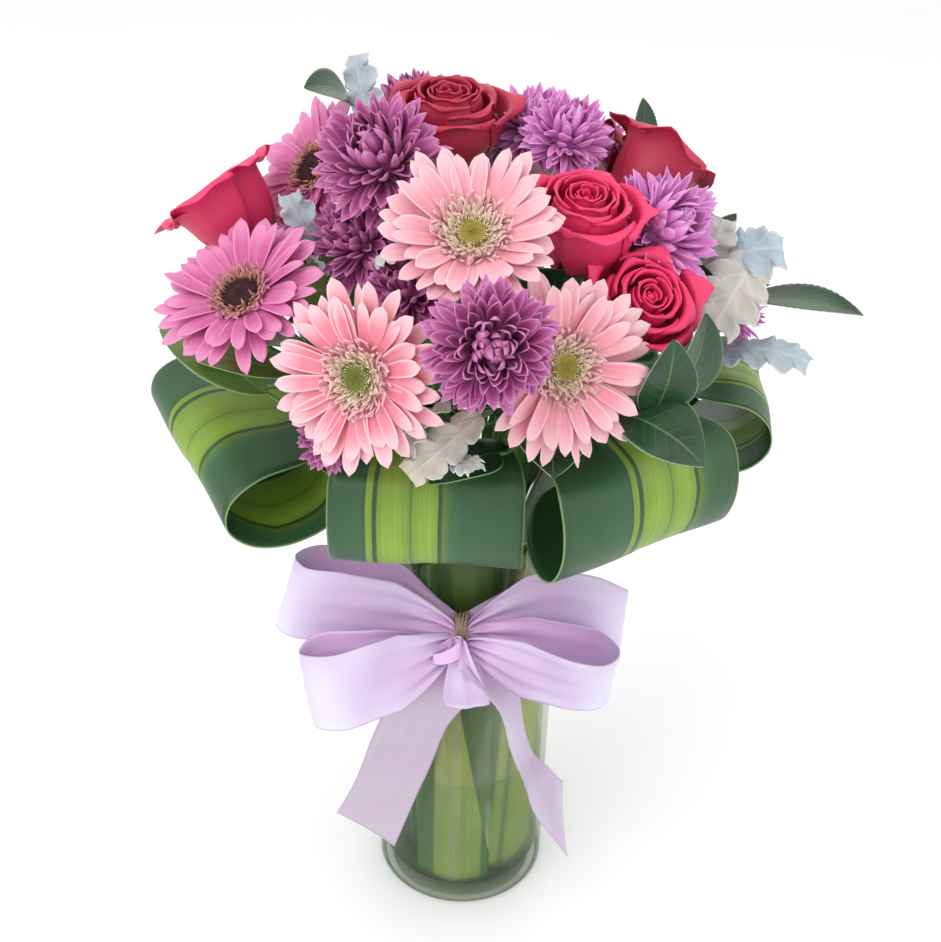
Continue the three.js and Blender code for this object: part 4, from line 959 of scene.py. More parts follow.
def rose_bloom(radius, curl, openness, depth, body, dome, rng):
    """Petals wrapped round the bud, each a golden angle on from the last and a little nearer the
    axis, so the middle closes to a spiral. A petal's points are v across from -1 to 1 and s up: the
    distance from the axis follows a profile from the base over the belly to the lip, and swells
    from one edge to the other, so that each edge tucks under the next petal. The lip curls out,
    most at its middle, where it makes a point, and it waves."""
    s = np.linspace(0, 1, 21)
    v = np.linspace(-1, 1, 17)
    edge = np.abs(v)[None]
    mesh = Mesh()
    n = 20
    for k in range(n):
        share = k / (n - 1)
        outer = (1 - share) ** 1.6
        belly = radius * (0.94 - 0.84 * share) * (body + (1 - body) * share)
        lip = radius * (1 - 0.94 * share**0.8) * (openness + (1 - openness) * share * 0.5)
        lip = max(lip, 0.05 * radius) * rng.uniform(0.97, 1.03)
        top = dome * (smooth(share, 0, 0.55) - 0.5) - 2 * smooth(share, 0.7, 1) + rng.normal(0, 0.9)
        bend = radius * curl * (0.12 * outer + 0.015) * rng.uniform(0.7, 1.25)
        tip = radius * curl * (0.15 * outer if k < 6 else 0.01) * rng.uniform(0.5, 1.4)
        profile = spline([(0.07 * radius, -ROSE_BASE * depth), (0.56 * belly, -30 * depth),
                          (0.92 * belly, -18 * depth), (0.62 * belly + 0.38 * lip, top - 8),
                          (lip, top - 1.4), (lip + 0.6 * bend, top),
                          (lip + 1.05 * bend, top - 0.5 * bend)], len(s))
        turn = math.radians(GOLDEN_TURN) * k + rng.normal(0, 0.08)
        phase = rng.uniform(0, 6.28, 2)
        up = s[:, None] * (1 - 0.13 * edge**3)
        r = np.interp(up, s, profile[:, 0])
        z = np.interp(up, s, profile[:, 1])
        far = up**7
        point = np.clip(1 - edge, 0, 1) ** 2
        r = r * (1 + 0.06 * v * np.minimum(up * 2, 1))
        r = r + far * (bend * (0.7 * point - 0.25) + tip * point)
        r = r * (1 + (0.012 + 0.03 * outer) * np.sin(2.6 * v * np.pi + phase[0]) * far)
        wave = (0.9 + 1.6 * outer) * np.sin(1.9 * np.pi * v + phase[1])
        z = z + far * (0.5 * tip * point + wave - (3 + 9 * outer) * edge**3)
        hug = (0.42 + 0.58 * smooth(up, 0, 0.5)) * (1 - 0.1 * far)
        spread = math.radians(47 + 42 * share) * hug
        # The zone, from outer petal to inner, sets the painted shade on the inner petals; the core
        # takes the most.
        mesh.add(polar(r, turn + spread * v, z), tint=rng.random(), zone=share)
    core = lathe([(0.3, -30), (0.1 * radius, -14), (0.07 * radius, 0), (0.3, 1.0)], 12)
    return mesh.close(core, tint=0.2, zone=1.0)


# ---------------------------------------------------------------- stems


def turn_of(point):
    """The turn in which a point lies from the vase's axis."""
    return math.degrees(math.atan2(point[0], -point[1]))


def bunch_turn(name):
    """The turn of an inner stem's foot: the feet share out a whole turn in the order of BUNCH."""
    return BUNCH_START + 360 * BUNCH.index(name) / len(BUNCH)


def stem_path(ring, foot, middle, turn, lift, behind, count=46):
    """From the vase's floor through its mouth and up inside the collar to a point behind the middle
    of a head: a curve through five stations, the further out the more the head leans out."""
    axis = direction(turn, lift)
    end = np.array(middle) - behind * axis
    near = end - 16 * axis - (0, 0, 12)
    out = math.hypot(near[0], near[1])
    gather, bend = np.clip(0.42 * out, 8, 44), np.clip(0.55 * out, 10, 50)
    swing = (turn_of(near) - foot + 540) % 360 - 180
    return spline([around(foot, ring, GLASS_FLOOR + 0.4),
                   around(foot, ring + 0.8 * (gather - ring), GATHERED),
                   around(foot + 0.6 * swing, bend, IN_COLLAR), near, end], count)


def branch_path(fork, middle, turn, lift, behind):
    """From a fork to a point behind the middle of a head, which it meets along the head's axis."""
    axis = direction(turn, lift)
    end = np.array(middle) - behind * axis
    return spline([fork, end - 10 * axis - (0, 0, 5), end], 18)


def calyx(mesh, middle, turn, lift):
    """The green cup under a gerbera, of small scales in two rows that overlap."""
    cup = lathe([(AXIS, -13.8), (3.4, -13), (6.2, -9.6), (8.2, -6.6), (7.6, -5), (AXIS, -7.4)], 22)
    mesh.close(seat(cup, middle, turn, lift))
    t = np.linspace(0, 1, 6)[None]
    for count, start, rise, swing in ((15, 4.5, 0.0, 0), (17, 6.2, 2.2, 0.5)):
        a = (2 * np.pi * (np.arange(count) + swing) / count)[:, None]
        centre = polar(start + 5.0 * t, a, -11.4 + rise + 5.4 * t**1.2)
        scales = blades(centre, level_side(a, t), 1.3 * petal_outline(t, 0.4, 0.8) + 0 * a, 3)
        mesh.add(seat(scales, middle, turn, lift))


def hip(mesh, middle, turn, lift):
    """The swelling under a rose with five sepals that hang back from it."""
    cup = lathe([(AXIS, -41), (3.2, -40.6), (6.2, -37.5), (7.3, -34), (7.2, -30.6), (AXIS, -30.4)],
                22)
    mesh.close(seat(cup, middle, turn, lift))
    t = np.linspace(0, 1, 12)[None]
    a = (2 * np.pi * (np.arange(5) + 0.3) / 5)[:, None]
    centre = polar(6.6 + 12.5 * t, a, -33.5 - 9.5 * t**1.4)
    half = 2.8 * petal_outline(t, 0.3, 0.75, 1.4) + 0 * a
    mesh.add(seat(blades(centre, level_side(a, t), half, 5, 0.2), middle, turn, lift))


# ---------------------------------------------------------------- leaves


def leaf_surface(base, tip, width, arch, face, lobes, teeth, rows=73, columns=15):
    """A leaf from base to tip, u along and v across: half the width times its outline to each
    side, raised by 4 arch u (1 - u) and folded up a little beside its midrib. Lobes lean forward,
    so a point's way along grows with how far out it is, and their edge is scalloped."""
    base, run = np.array(base, float), np.subtract(tip, base).astype(float)
    side = unit(np.cross(direction(*face), run))
    normal = unit(np.cross(run, side))
    u = np.linspace(0, 1, rows)[:, None]
    v = np.linspace(-1, 1, columns)[None]
    if lobes:
        wave = np.abs(np.sin(np.pi * lobes * u)) ** 0.4
        envelope = np.sin(np.pi * (0.07 + 0.83 * u**1.15)) ** 0.5
        scallop = 0.05 * np.abs(np.sin(3 * np.pi * lobes * u))
        outline = np.maximum(0.12, envelope * (0.46 + 0.5 * wave + scallop))
        lead = u + (0.05 * np.abs(v) ** 1.5 + 0.02 * np.sin(3 * v)) * np.sin(np.pi * u)
        phase = 1.2 + 0.8 * np.sign(v)
        ripple = 0.1 * width * np.sin(2 * np.pi * lobes * u + phase) * np.abs(v) ** 1.5
        ripple = ripple - 0.13 * width * v**4 + 0.02 * width * np.cos(9 * v) * wave
    else:
        outline = np.maximum(0.05, np.sin(np.pi * u**0.85) ** 0.75)
        saw = 1 - np.abs(((u * 17) % 1) * 2 - 1)
        outline = outline * (1 + teeth * (saw - 0.5))
        lead = u + 0 * v
        ripple = 0.012 * width * np.sin(9 * u + 2) * v**3
    half = 0.5 * width * outline
    lift = 4 * arch * u * (1 - u) + 0.12 * half * v**2 + 0.07 * half * np.abs(v) + ripple
    return base + run * lead[..., None] + side * (v * half)[..., None] + normal * lift[..., None]


def leafy_spray(foot, fork, leaves, tints, lobes, teeth):
    """A stem through the vase's mouth to a fork, and from there a stalk to each leaf, which meets
    the leaf's foot between the way to it and the way it points."""
    crotch = around(*fork)
    mesh = Mesh()
    stem = spline([around(foot, LEAFY_RING, GLASS_FLOOR + 0.4), around(foot, 42, 250), crotch], 30)
    mesh.rod(stem, *LEAFY_STEM, finish=1)
    for (base, tip, width, arch, face), tint in zip(leaves, tints):
        base, run = np.array(base, float), np.subtract(tip, base).astype(float)
        lead = unit(unit(run) + unit(base - crotch))
        near = base - 0.25 * np.linalg.norm(run) * lead - (0, 0, 4)
        mesh.rod(spline([crotch, near, base + 0.05 * run], 18), *LEAF_STALK, 8, finish=1)
        mesh.add(leaf_surface(base, tip, width, arch, face, lobes, teeth), tint=tint)
    return mesh


def leaf_loop(turn, middle, yaw, depth, height, width, tilt, droop, samples=88, columns=21):
    """A strap leaf from inside the mouth, over the rim and rolled outwards. Its rows of points,
    straight across the leaf at each station, are joined by a smooth curve through all stations.
    The roll is then moved along its normal by low sine waves and a crease along its middle."""
    v = np.linspace(-1, 1, columns)
    r, z, half = (TONGUE[:, k, None] for k in range(3))
    foot = around(turn + np.degrees(v * half / r), r, z + 0 * v)
    right, level = direction(yaw + 90, 0), direction(yaw, 0)
    a = math.radians(-droop)
    out = level * math.cos(a) + np.cross(right, level) * math.sin(a)
    up = np.cross(right, out)
    x, y, share = ROLL[:, 0] * depth / 2, ROLL[:, 1] * height / 2, ROLL[:, 2]
    reach = v * (share * width / 2)[:, None]
    roll = (np.array(middle) + x[:, None, None] * out + y[:, None, None] * up
            + reach[..., None] * right + (tilt * reach / width)[..., None] * (0, 0, 1))
    rows = np.concatenate([foot, roll])
    points = spline(rows, samples, rows[:, columns // 2])
    along = np.gradient(points, axis=0)
    normal = unit(np.cross(along, np.gradient(points, axis=1)))
    u = np.linspace(0, 1, samples)[:, None]
    wave = 0.5 * np.sin(14 * u + 2 * v) * np.abs(v) ** 3 + 0.8 * np.sin(4.3 * v + 5 * u)
    wave = wave - 0.5 * np.exp(-((v / 0.05) ** 2))
    return points + normal * (wave * smooth(u, 0.25, 0.4))[..., None]


def liner(turn, span, inset, bottom, top, lean, samples=46):
    """A strap leaf flat against the inside of the glass, with its foot cut to a point in the middle
    and its top rounded off by 14 v^2 towards its edges. It leans more towards its foot."""
    v = np.linspace(-1, 1, 2 * round(span / 4) + 1)[None]
    u = np.linspace(0, 1, samples)[:, None]
    cut = 5 * (1 - np.abs(v)) * (1 - u)
    z = bottom - cut + (top - 14 * v**2 - bottom + cut) * u
    return around(turn + lean * (1 - u) + v * span / 2, VASE_RADIUS - GLASS - 1.3 - inset, z)


def dark_overlap(samples=60, columns=15):
    """A darker leaf over the right of the front one: its left edge runs slanting down to the right,
    turn = 20 (190 - z) / 110 - 6, and near the foot it is cut to a bent tip."""
    z = np.linspace(288, 52, samples)[:, None]
    v = np.linspace(0, 1, columns)[None]
    left = -6 + 20 * (190 - z) / 110
    left = np.clip(left, -22, 20)
    bent_tip = 9 * v * smooth(-z, -90, -60)
    return around(left + (21.6 - left) * v, VASE_RADIUS - GLASS - 1.1, z - bent_tip)


# ---------------------------------------------------------------- bow


def ribbon(stations, widths, phase, rolled=None, cut=0.0, samples=84, columns=31):
    """A length of ribbon. Its middle is the curve through the stations, and it lies to both sides
    of that along its width line: half = 4 + 21 (along / 40)^0.75 up to its full width, gathered at
    the knot in pleats that fade as they run out, a cosine across the ribbon. A loop comes back to
    the knot, so along is the shorter way there. A tail may be rolled up along its middle, its width
    bent to an arc of that many radians to each side, and is cut at a slant. Gives the points, and
    how much painted shade, a pinker tone, each takes: most in the folds by the knot and on the
    second half of a loop, which shows its inside."""
    middle = spline(stations, samples)
    width = unit(spline(unit(np.array(widths, float)), samples))
    lengths = np.linalg.norm(np.diff(middle, axis=0), axis=1)
    steps = np.concatenate([[0], np.cumsum(lengths)])[:, None]
    share = steps / steps[-1]
    along = steps if rolled else np.minimum(steps, steps[-1] - steps)
    v = np.linspace(-1, 1, columns)[None]
    half = 4 + (RIBBON_HALF - 4) * np.clip(along / 40, 0, 1) ** 0.75
    normal = unit(np.cross(np.gradient(middle, axis=0), width))
    depth = 3.3 * np.exp(-along / 20) + 0.8 * np.exp(-along / 60)
    fold = depth * np.cos(3.4 * np.pi * v + phase + along / 55) + 0.5 * np.sin(along / 17 + 2 * v)
    bent = spline(np.array(rolled), samples)[:, None] if rolled else np.full((samples, 1), 0.02)
    reach, rise = np.sin(bent * v) / bent, (1 - np.cos(bent * v)) / bent
    down = unit(np.gradient(middle, axis=0))
    slant = cut * v * share**6
    points = (middle[:, None] + width[:, None] * (reach * half)[..., None]
              + normal[:, None] * (fold + rise * half)[..., None]
              + down[:, None] * slant[..., None])
    fold_shade = np.exp(-along / 16) + (0 if rolled else 0.75 * smooth(share, 0.5, 0.62)) + 0 * v
    return KNOT + points, np.clip(fold_shade, 0, 1)


def centre_loop(samples=48, columns=25):
    """The small loop that hangs over the front of the knot: drop = 43 sin(pi u)^0.8, wider below
    the knot and creased across by two folds."""
    u = np.linspace(0, 1, samples)[:, None]
    v = np.linspace(-1, 1, columns)[None]
    a = np.pi * u
    drop = 43 * np.maximum(np.sin(a), 0) ** 0.8
    half = 4.5 + 13 * np.sin(a) * (1 - 0.34 * np.sin(a) ** 8)
    forward = 7 + 19 * np.sin(a) - 5.5 * np.cos(a)
    fold = 2.0 * np.cos(2.1 * np.pi * v + 0.7) * (1 - 0.8 * np.sin(a)) + 1.1 * np.sin(2 * a + 2 * v)
    x = -2 + 0.16 * drop + v * half
    points = np.stack([x, -forward - 3 - fold, 5 - drop + 3 * v**2 * np.sin(a) + 0 * x], -1)
    # Painted shade, a pinker tone, near the knot and on the loop's first half.
    fold_shade = np.exp(-drop / 12) + smooth(u, 0.0, 0.5) * (u < 0.5) * 0.5
    return KNOT + points, np.clip(fold_shade, 0, 1) + 0 * v


def side_tuck(samples=30, columns=13):
    """A little tuck of ribbon that rolls out beside the knot: a flat ring, 12 mm wide."""
    a = np.linspace(0.2, 2 * np.pi - 0.2, samples)[:, None]
    v = np.linspace(-1, 1, columns)[None]
    x = -8.5 + 8.5 * np.cos(a) + 0 * v
    y = -19 - 5.5 * np.sin(a) + 0.8 * v
    z = -3.5 + 0.5 * (x + 9.5) + 6 * v * (0.75 + 0.25 * np.cos(a))
    # The tuck takes painted shade, a pinker tone, of 0.8 all over.
    return KNOT + np.stack([x, y, z], -1), 0.8 + 0 * a * v


def knot_ball():
    """The knot: a ball drawn out upwards, with five creases that turn as they rise."""
    u = np.linspace(0, np.pi, 25)[:, None]
    a = np.linspace(0, 2 * np.pi, 32, endpoint=False)[None]
    crease = 1 + 0.07 * np.cos(5 * a + 3 * u) * np.sin(u)
    waist = 6.4 * np.maximum(np.sin(u), 0.03) * crease
    return np.stack([waist * np.sin(a), -waist * np.cos(a), -8.0 * np.cos(u) + 0 * a], -1)


# ---------------------------------------------------------------- settings


def colour_setting(name, code, description):
    """A colour that a user can change, from its screen colour."""
    return FloatVectorProperty(name=name, description=description, subtype="COLOR", size=3,
                               min=0, max=1, default=linear(code))


class BouquetSizes(bpy.types.PropertyGroup):
    glass: FloatProperty(name="Glass", description="Thickness of the vase's wall",
                         unit="LENGTH", default=GLASS * MM, min=0.002, max=0.008)
    water: FloatProperty(name="Water level", description="Height of the water above the table",
                         unit="LENGTH", default=float(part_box("water")[1].z), min=0.03, max=0.25)
    rays: IntProperty(name="Ray petals", description="Petals in a gerbera's outer whorl",
                      default=26, min=12, max=40)
    petal: FloatProperty(name="Petal thickness", description="Thickness of a flower's petals",
                         unit="LENGTH", default=0.00045, min=0.0002, max=0.0015)
    leaf: FloatProperty(name="Leaf thickness", description="Thickness of the strap leaves",
                        unit="LENGTH", default=0.0009, min=0.0004, max=0.002)
    ribbon: FloatProperty(name="Ribbon thickness", description="Thickness of the satin ribbon",
                          unit="LENGTH", default=0.0005, min=0.0002, max=0.001)


class BouquetColours(bpy.types.PropertyGroup):
    coral: colour_setting("Coral", "ec8092", "Coral gerbera petals")
    orchid: colour_setting("Orchid", "cb5294", "Orchid pink gerbera petals")
    rose_pink: colour_setting("Rose pink", "ec3069", "Hot pink rose petals")
    red: colour_setting("Red", "bc2648", "Dark red rose petals")
    plum: colour_setting("Plum", "ad3d80", "Deep purple chrysanthemum petals")
    lilac: colour_setting("Lilac", "ee88dc", "Lilac chrysanthemum petals")
    strap: colour_setting("Strap leaf", "35603a", "Dark green of the rolled strap leaves")
    lime: colour_setting("Lime stripe", "86a433", "Stripes along the strap leaves")
    leaf: colour_setting("Leaf", "21452a", "Dark green leaves")
    silver: colour_setting("Silver leaf", "b6cad6", "Felted silver leaves")
    ribbon: colour_setting("Ribbon", "c8aed0", "Satin ribbon")
    floor: colour_setting("Floor", "fbfbfb", "Pale tabletop")


def size(name):
    """A size setting in millimetres."""
    return getattr(bpy.context.scene.bouquet_sizes, name) / MM


def colours(name):
    """A colour setting as linear red, green and blue."""
    return tuple(getattr(bpy.context.scene.bouquet_colours, name))


def shared(name, maker, *values):
    """The material of that name, made the first time it is asked for. A word among the values is
    a screen colour."""
    values = [linear(value) if isinstance(value, str) else value for value in values]
    return bpy.data.materials.get(name) or maker(name, *values)


def green():
    """The finish of every green stem."""
    return shared("stem_green", stem_green, "5b8f3e")


# ---------------------------------------------------------------- operators


class BOUQUET_OT_vase(bpy.types.Operator):
    """Clear glass cylinder with a thick floor and a rounded rim"""

    bl_idname = "bouquet.vase"
    bl_label = "Vase"
    bl_options = {"REGISTER", "UNDO"}

    def execute(self, context):
        wall = size("glass")
        outer, inner, top, floor = VASE_RADIUS, VASE_RADIUS - wall, VASE_HEIGHT, GLASS_FLOOR
        profile = np.concatenate([
            [(AXIS, FOOT_HOLLOW), (outer - 12, FOOT_HOLLOW), (outer - 8, 0)],
            arc(outer - CORNER, CORNER, CORNER, -90, 0),
            upright(outer, 8, top - 6, 24),
            arc(outer - wall / 2, top - wall / 2, wall / 2, 0, 180, 13),
            upright(inner, top - 6, floor + 8, 24),
            arc(inner - CORNER, floor + CORNER, CORNER, 0, -90),
            [(AXIS, floor)]])
        glass = shared("clear_glass", clear, "e9f3ef", 1.46, "e9ede4")
        piece = Mesh().close(lathe(profile, 120)).build("glass_vase", [glass])
        stand_for(piece, "vase")
        return {"FINISHED"}


class BOUQUET_OT_water(bpy.types.Operator):
    """Water in the foot of the vase, with a rim where it climbs the glass"""

    bl_idname = "bouquet.water"
    bl_label = "Water"
    bl_options = {"REGISTER", "UNDO"}

    def execute(self, context):
        side = VASE_RADIUS - size("glass") + TOUCH
        level, floor = size("water"), GLASS_FLOOR
        profile = np.concatenate([
            [(AXIS, floor)],
            arc(side - CORNER, floor + CORNER, CORNER, -90, 0),
            upright(side, floor + 8, level - 4, 10),
            [(side, level), (side - 0.6, level - 0.7), (side - 2, level - 1.1),
             (AXIS, level - 1.2)]])
        water = shared("clear_water", clear, "edf6f0", 1.33, "f2f8f4")
        piece = Mesh().close(lathe(profile, 120)).build("vase_water", [water])
        stand_for(piece, "water")
        return {"FINISHED"}


class BOUQUET_OT_stems(bpy.types.Operator):
    """Green stems of the gerberas, roses and chrysanthemums, with calyces, hips and sepals"""

    bl_idname = "bouquet.stems"
    bl_label = "Stems"
    bl_options = {"REGISTER", "UNDO"}

    def execute(self, context):
        for name, *place, _, _, _, _, _ in GERBERAS:
            mesh = Mesh()
            foot = GERBERA_FEET[name]
            mesh.rod(stem_path(GERBERA_RING, foot, *place, GERBERA_BACK), *GERBERA_STEM)
            calyx(mesh, *place)
            piece = mesh.build(f"gerbera_{name}_stem", [green()])
            stand_for(piece, f"gerbera_stem_{name}")
        mesh = Mesh()
        for name, middle, turn, lift, *_, depth, _, _ in ROSES:
            low = ROSE_BASE * (depth - 1)
            behind = ROSE_BASE + 4 + low
            foot = bunch_turn("rose_" + name)
            mesh.rod(stem_path(BUNCH_RING, foot, middle, turn, lift, behind), *ROSE_STEM)
            hip(mesh, np.array(middle) - low * direction(turn, lift), turn, lift)
        for name, (fork, heads) in MUM_SPRAYS.items():
            foot = bunch_turn("spray_" + name)
            reach = BUNCH_RING + 0.4 * (math.hypot(fork[0], fork[1]) - BUNCH_RING)
            path = [around(foot, BUNCH_RING, GLASS_FLOOR + 0.3),
                    around(foot, np.clip(reach, 8, 43), GATHERED), fork]
            mesh.rod(spline(path, 34), *SPRAY_STEM)
            for _, middle, turn, lift, radius, *_ in heads:
                mesh.rod(branch_path(fork, middle, turn, lift, MUM_BACK * radius), *TWIG, 8)
        piece = mesh.build("rose_and_chrysanthemum_stalks", [green()])
        stand_for(piece, "rose_and_chrysanthemum_stems")
        return {"FINISHED"}


class BOUQUET_OT_gerberas(bpy.types.Operator):
    """Gerbera heads: ray petals, the collar of short florets and the disc"""

    bl_idname = "bouquet.gerberas"
    bl_label = "Gerberas"
    bl_options = {"REGISTER", "UNDO"}

    def execute(self, context):
        rays = context.scene.bouquet_sizes.rays
        petals = {name: shared("gerbera_" + name, ray_petal, colours(name), *shades)
                  for name, shades in GERBERA_SHADES.items()}
        discs = {name: shared("disc_" + name, button, *shades)
                 for name, shades in DISC_SHADES.items()}
        for k, (name, *place, radius, cup, colour, pale, disc) in enumerate(GERBERAS):
            rng = np.random.default_rng(100 + k)
            mesh = gerbera_petals(radius, cup, pale, rays, COLLARS[colour], rng).at(*place)
            piece = mesh.build(f"gerbera_{name}_rays", [petals[colour]], size("petal"))
            stand_for(piece, f"gerbera_petals_{name}")
            radius, slot = DISCS[colour]
            mesh = gerbera_disc(radius, rng).at(*place)
            piece = mesh.build(f"gerbera_{name}_button", [discs[disc]])
            stand_for(piece, f"gerbera_disc_{name}")
        return {"FINISHED"}


class BOUQUET_OT_roses(bpy.types.Operator):
    """Rose blooms with whorls of curled petals"""

    bl_idname = "bouquet.roses"
    bl_label = "Roses"
    bl_options = {"REGISTER", "UNDO"}

    def execute(self, context):
        petals = {"rose_pink": shared("rose_hot_pink", rose_petal, colours("rose_pink"), "ee3f74"),
                  "red": shared("rose_dark_red", rose_petal, colours("red"), "c22f50")}
        for k, (name, middle, turn, lift, radius, colour, *form) in enumerate(ROSES):
            rng = np.random.default_rng(200 + k)
            mesh = rose_bloom(radius, *form, rng).at(middle, turn, lift)
            piece = mesh.build(f"rose_{name}_bloom", [petals[colour]], size("petal"))
            stand_for(piece, f"rose_{name}")
        return {"FINISHED"}


class BOUQUET_OT_chrysanthemums(bpy.types.Operator):
    """Chrysanthemum heads of incurved petals"""

    bl_idname = "bouquet.chrysanthemums"
    bl_label = "Chrysanthemums"
    bl_options = {"REGISTER", "UNDO"}

    def execute(self, context):
        petals = {name: shared("chrysanthemum_" + name, mum_petal, colours(name), edge)
                  for name, edge in (("plum", "d683bd"), ("lilac", "eaa6e0"))}
        heads = [head for _, group in MUM_SPRAYS.values() for head in group]
        for k, (name, *place, radius, colour, full) in enumerate(heads):
            mesh = mum_head(radius, full, np.random.default_rng(300 + k)).at(*place)
            piece = mesh.build(f"chrysanthemum_{name}_head", [petals[colour]], size("petal"))
            stand_for(piece, f"chrysanthemum_{name}")
        return {"FINISHED"}


class BOUQUET_OT_leaf_loops(bpy.types.Operator):
    """The collar of rolled strap leaves"""

    bl_idname = "bouquet.leaf_loops"
    bl_label = "Rolled leaves"
    bl_options = {"REGISTER", "UNDO"}

    def execute(self, context):
        for name, (*form, stripe, drift) in LEAF_LOOPS.items():
            finish = shared("strap_leaf_" + name, strap_green, colours("strap"), colours("lime"),
                            stripe, drift)
            mesh = Mesh().add(leaf_loop(*form))
            piece = mesh.build(f"rolled_leaf_{name}", [finish], size("leaf"))
            stand_for(piece, f"leaf_loop_{name}")
        return {"FINISHED"}


class BOUQUET_OT_liners(bpy.types.Operator):
    """Striped strap leaves that line the inside of the glass"""

    bl_idname = "bouquet.liners"
    bl_label = "Leaves inside the vase"
    bl_options = {"REGISTER", "UNDO"}

    def execute(self, context):
        for name, (*form, lanes) in LINERS.items():
            front = name == "front"
            finish = shared("lining_leaf_" + name, lining_green, "5c8040", "c8cb66", "dccb9a",
                            lanes, float(front))
            mesh = Mesh().add(liner(*form))
            if front:
                mesh.add(dark_overlap(), zone=1.0)
            piece = mesh.build(f"lining_leaf_{name}", [finish], size("leaf"))
            stand_for(piece, f"leaf_liner_{name}")
        return {"FINISHED"}


class BOUQUET_OT_silver_leaves(bpy.types.Operator):
    """Felted silver leaves with deep lobes"""

    bl_idname = "bouquet.silver_leaves"
    bl_label = "Silver leaves"
    bl_options = {"REGISTER", "UNDO"}

    def execute(self, context):
        finishes = [shared("silver_felt", silver_felt, colours("silver")), green()]
        for name, (foot, fork, leaves) in SILVER_SPRAYS.items():
            *forms, beige = zip(*leaves)
            mesh = leafy_spray(foot, fork, zip(*forms), beige, 3.5, 0)
            piece = mesh.build(f"silver_leaves_{name}", finishes, LEAFLET)
            stand_for(piece, f"silver_spray_{name}")
        return {"FINISHED"}


class BOUQUET_OT_foliage(bpy.types.Operator):
    """Dark green leaves between the flowers"""

    bl_idname = "bouquet.foliage"
    bl_label = "Green leaves"
    bl_options = {"REGISTER", "UNDO"}

    def execute(self, context):
        finishes = [shared("leaf_green", leaf_green, colours("leaf"), "9fbf77"), green()]
        for k, (name, (foot, fork, leaves)) in enumerate(FOLIAGE_SPRAYS.items()):
            pale = 0.35 * np.random.default_rng(500 + k).random(len(leaves))
            if name == "left":
                pale = [0.8] * len(leaves)
            mesh = leafy_spray(foot, fork, leaves, pale, 0, 0.06 if name == "right_back" else 0.015)
            piece = mesh.build(f"green_leaves_{name}", finishes, LEAFLET)
            stand_for(piece, f"foliage_{name}")
        return {"FINISHED"}


class BOUQUET_OT_tie(bpy.types.Operator):
    """Cord round the glass, of two twisted strands, and four strands over the bow's knot"""

    bl_idname = "bouquet.tie"
    bl_label = "Cord"
    bl_options = {"REGISTER", "UNDO"}

    def execute(self, context):
        mesh = Mesh()
        turn = np.linspace(0, 2 * np.pi, 241)
        a = np.linspace(0, 2 * np.pi, 6, endpoint=False)
        radial = polar(1, turn, 0)[:, None]
        ring = radial * np.cos(a)[:, None] + np.array((0, 0, 1.0)) * np.sin(a)[:, None]
        for k in range(2):
            twist = CORD_TWISTS * turn + np.pi * k
            path = polar(CORD_RING + 0.32 * np.cos(twist), turn, TIE_HEIGHT + 0.4 * np.sin(twist))
            mesh.add(path[:, None] + CORD_STRAND * ring, wrap=True)
        a = np.radians(np.linspace(-40, 150, 26))
        for k in range(4):
            x = -3.2 + 1.9 * k + 0.5 * np.sin(3 * a + k)
            path = KNOT + np.stack([x, -8.4 * np.cos(a), 10.2 * np.sin(a) + 0.4 * k], -1)
            mesh.rod(path, 0.95, 0.95, 8)
        piece = mesh.build("raffia_cord", [shared("raffia_cord", raffia, "9c8a72")])
        stand_for(piece, "tie")
        return {"FINISHED"}


class BOUQUET_OT_bow(bpy.types.Operator):
    """Satin bow of four loops, two tails, a small centre loop and a knot"""

    bl_idname = "bouquet.bow"
    bl_label = "Bow"
    bl_options = {"REGISTER", "UNDO"}

    def execute(self, context):
        mesh = Mesh()
        lengths = [ribbon(*loop, 0.9 * k) for k, loop in enumerate(BOW_LOOPS)]
        lengths += [ribbon(*tail[:2], 1.3 * k, *tail[2:]) for k, tail in enumerate(BOW_TAILS)]
        lengths += [centre_loop(), side_tuck()]
        for (points, fold_shade), grey_shade in zip(lengths, PAINTED_GREY_SHADE, strict=True):
            mesh.add(points, zone=fold_shade, tint=grey_shade)
        # The knot takes painted shade, a pinker tone, of 0.9.
        mesh.close(KNOT + knot_ball(), zone=0.9)
        # The second colour is the painted highlight of the bands, the third the pinker painted
        # shade of the folds.
        finish = shared("satin_ribbon", satin, colours("ribbon"), "dfdcf3", "ecb6ea")
        piece = mesh.build("satin_bow", [finish], size("ribbon"))
        stand_for(piece, "bow")
        return {"FINISHED"}


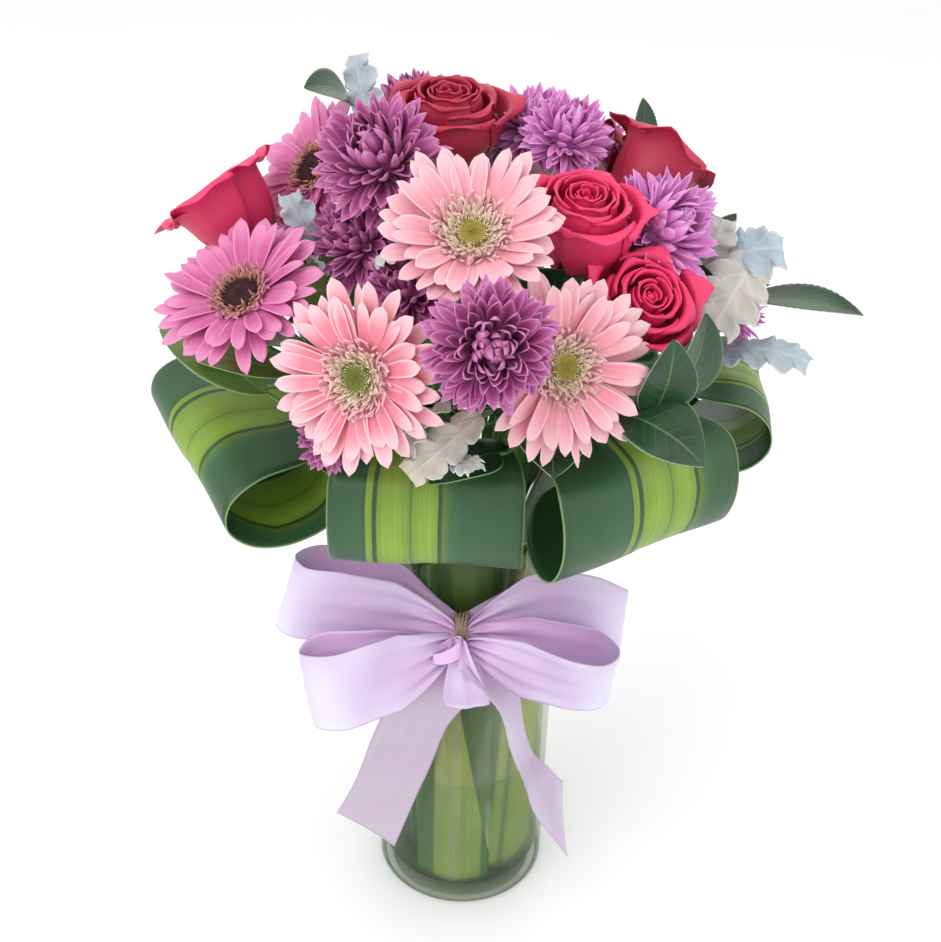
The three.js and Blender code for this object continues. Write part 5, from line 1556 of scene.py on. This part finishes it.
class BOUQUET_OT_stage(bpy.types.Operator):
    """Pale floor, soft studio light and the camera"""

    bl_idname = "bouquet.stage"
    bl_label = "Stage"
    bl_options = {"REGISTER", "UNDO"}

    def execute(self, context):
        scene = context.scene
        x = np.linspace(-FLOOR_REACH, FLOOR_REACH, 9)
        x, y = np.meshgrid(x, x)
        floor = Mesh().add(np.stack([x, y, 0 * x], -1))
        floor.build("tabletop", [shared("pale_floor", pale_floor, colours("floor"))])
        world = bpy.data.worlds.new("studio")
        world.use_nodes = True
        sky = world.node_tree.nodes["Background"].inputs
        sky[0].default_value, sky[1].default_value = (1.0, 1.0, 1.0, 1), 1.0
        scene.world = world
        for name, place, size, power in LAMPS:
            light = bpy.data.lights.new(name, "AREA")
            light.energy, light.size = power, size
            back = unit(np.array(place) - LAMPS_AIM)
            right = unit(np.cross((0, 0, 1), back))
            stand(scene, name, light, place, right, np.cross(back, right), back)
        pitch, roll = math.radians(CAMERA_PITCH), math.radians(CAMERA_ROLL)
        forward = np.array((0, math.cos(pitch), -math.sin(pitch)))
        level = np.array((1.0, 0, 0))
        up = np.cross(level, forward)
        right = level * math.cos(roll) + up * math.sin(roll)
        up = -level * math.sin(roll) + up * math.cos(roll)
        lens = bpy.data.cameras.new("camera")
        lens.sensor_width = SENSOR
        lens.lens = CAMERA_FOCUS * SENSOR / PHOTO_WIDTH
        lens.clip_start, lens.clip_end = 0.01, 100
        scene.camera = stand(scene, "camera", lens, CAMERA_PLACE, right, up, -forward)
        scene.view_settings.view_transform = "Standard"
        return {"FINISHED"}


def stand(scene, name, data, place, *axes):
    """A lamp or camera at its place, with its own X, Y and Z along the three axes."""
    made = bpy.data.objects.new(name, data)
    scene.collection.objects.link(made)
    made.matrix_world = Matrix.Translation(place) @ Matrix(np.array(axes).T.tolist()).to_4x4()
    return made


class BOUQUET_PT_pieces(bpy.types.Panel):
    """The bouquet's pieces and settings"""

    bl_idname = "BOUQUET_PT_pieces"
    bl_label = "Vase of gerberas"
    bl_space_type = "VIEW_3D"
    bl_region_type = "UI"
    bl_category = "Bouquet"

    def draw(self, context):
        for group in (context.scene.bouquet_sizes, context.scene.bouquet_colours):
            box = self.layout.box()
            for name in group.__annotations__:
                box.prop(group, name)
        for operator in OPERATORS:
            self.layout.operator(operator.bl_idname)


OPERATORS = (
    BOUQUET_OT_stage, BOUQUET_OT_vase, BOUQUET_OT_water, BOUQUET_OT_stems, BOUQUET_OT_gerberas,
    BOUQUET_OT_roses, BOUQUET_OT_chrysanthemums, BOUQUET_OT_leaf_loops, BOUQUET_OT_liners,
    BOUQUET_OT_silver_leaves, BOUQUET_OT_foliage, BOUQUET_OT_tie, BOUQUET_OT_bow,
)
CLASSES = (BouquetSizes, BouquetColours, *OPERATORS, BOUQUET_PT_pieces)


def register():
    for each in CLASSES:
        bpy.utils.register_class(each)
    bpy.types.Scene.bouquet_sizes = PointerProperty(type=BouquetSizes)
    bpy.types.Scene.bouquet_colours = PointerProperty(type=BouquetColours)


def unregister():
    del bpy.types.Scene.bouquet_colours
    del bpy.types.Scene.bouquet_sizes
    for each in reversed(CLASSES):
        bpy.utils.unregister_class(each)


def main():
    register()
    for operator in OPERATORS:
        group, name = operator.bl_idname.split(".")
        getattr(getattr(bpy.ops, group), name)()


if __name__ == "__main__":
    main()
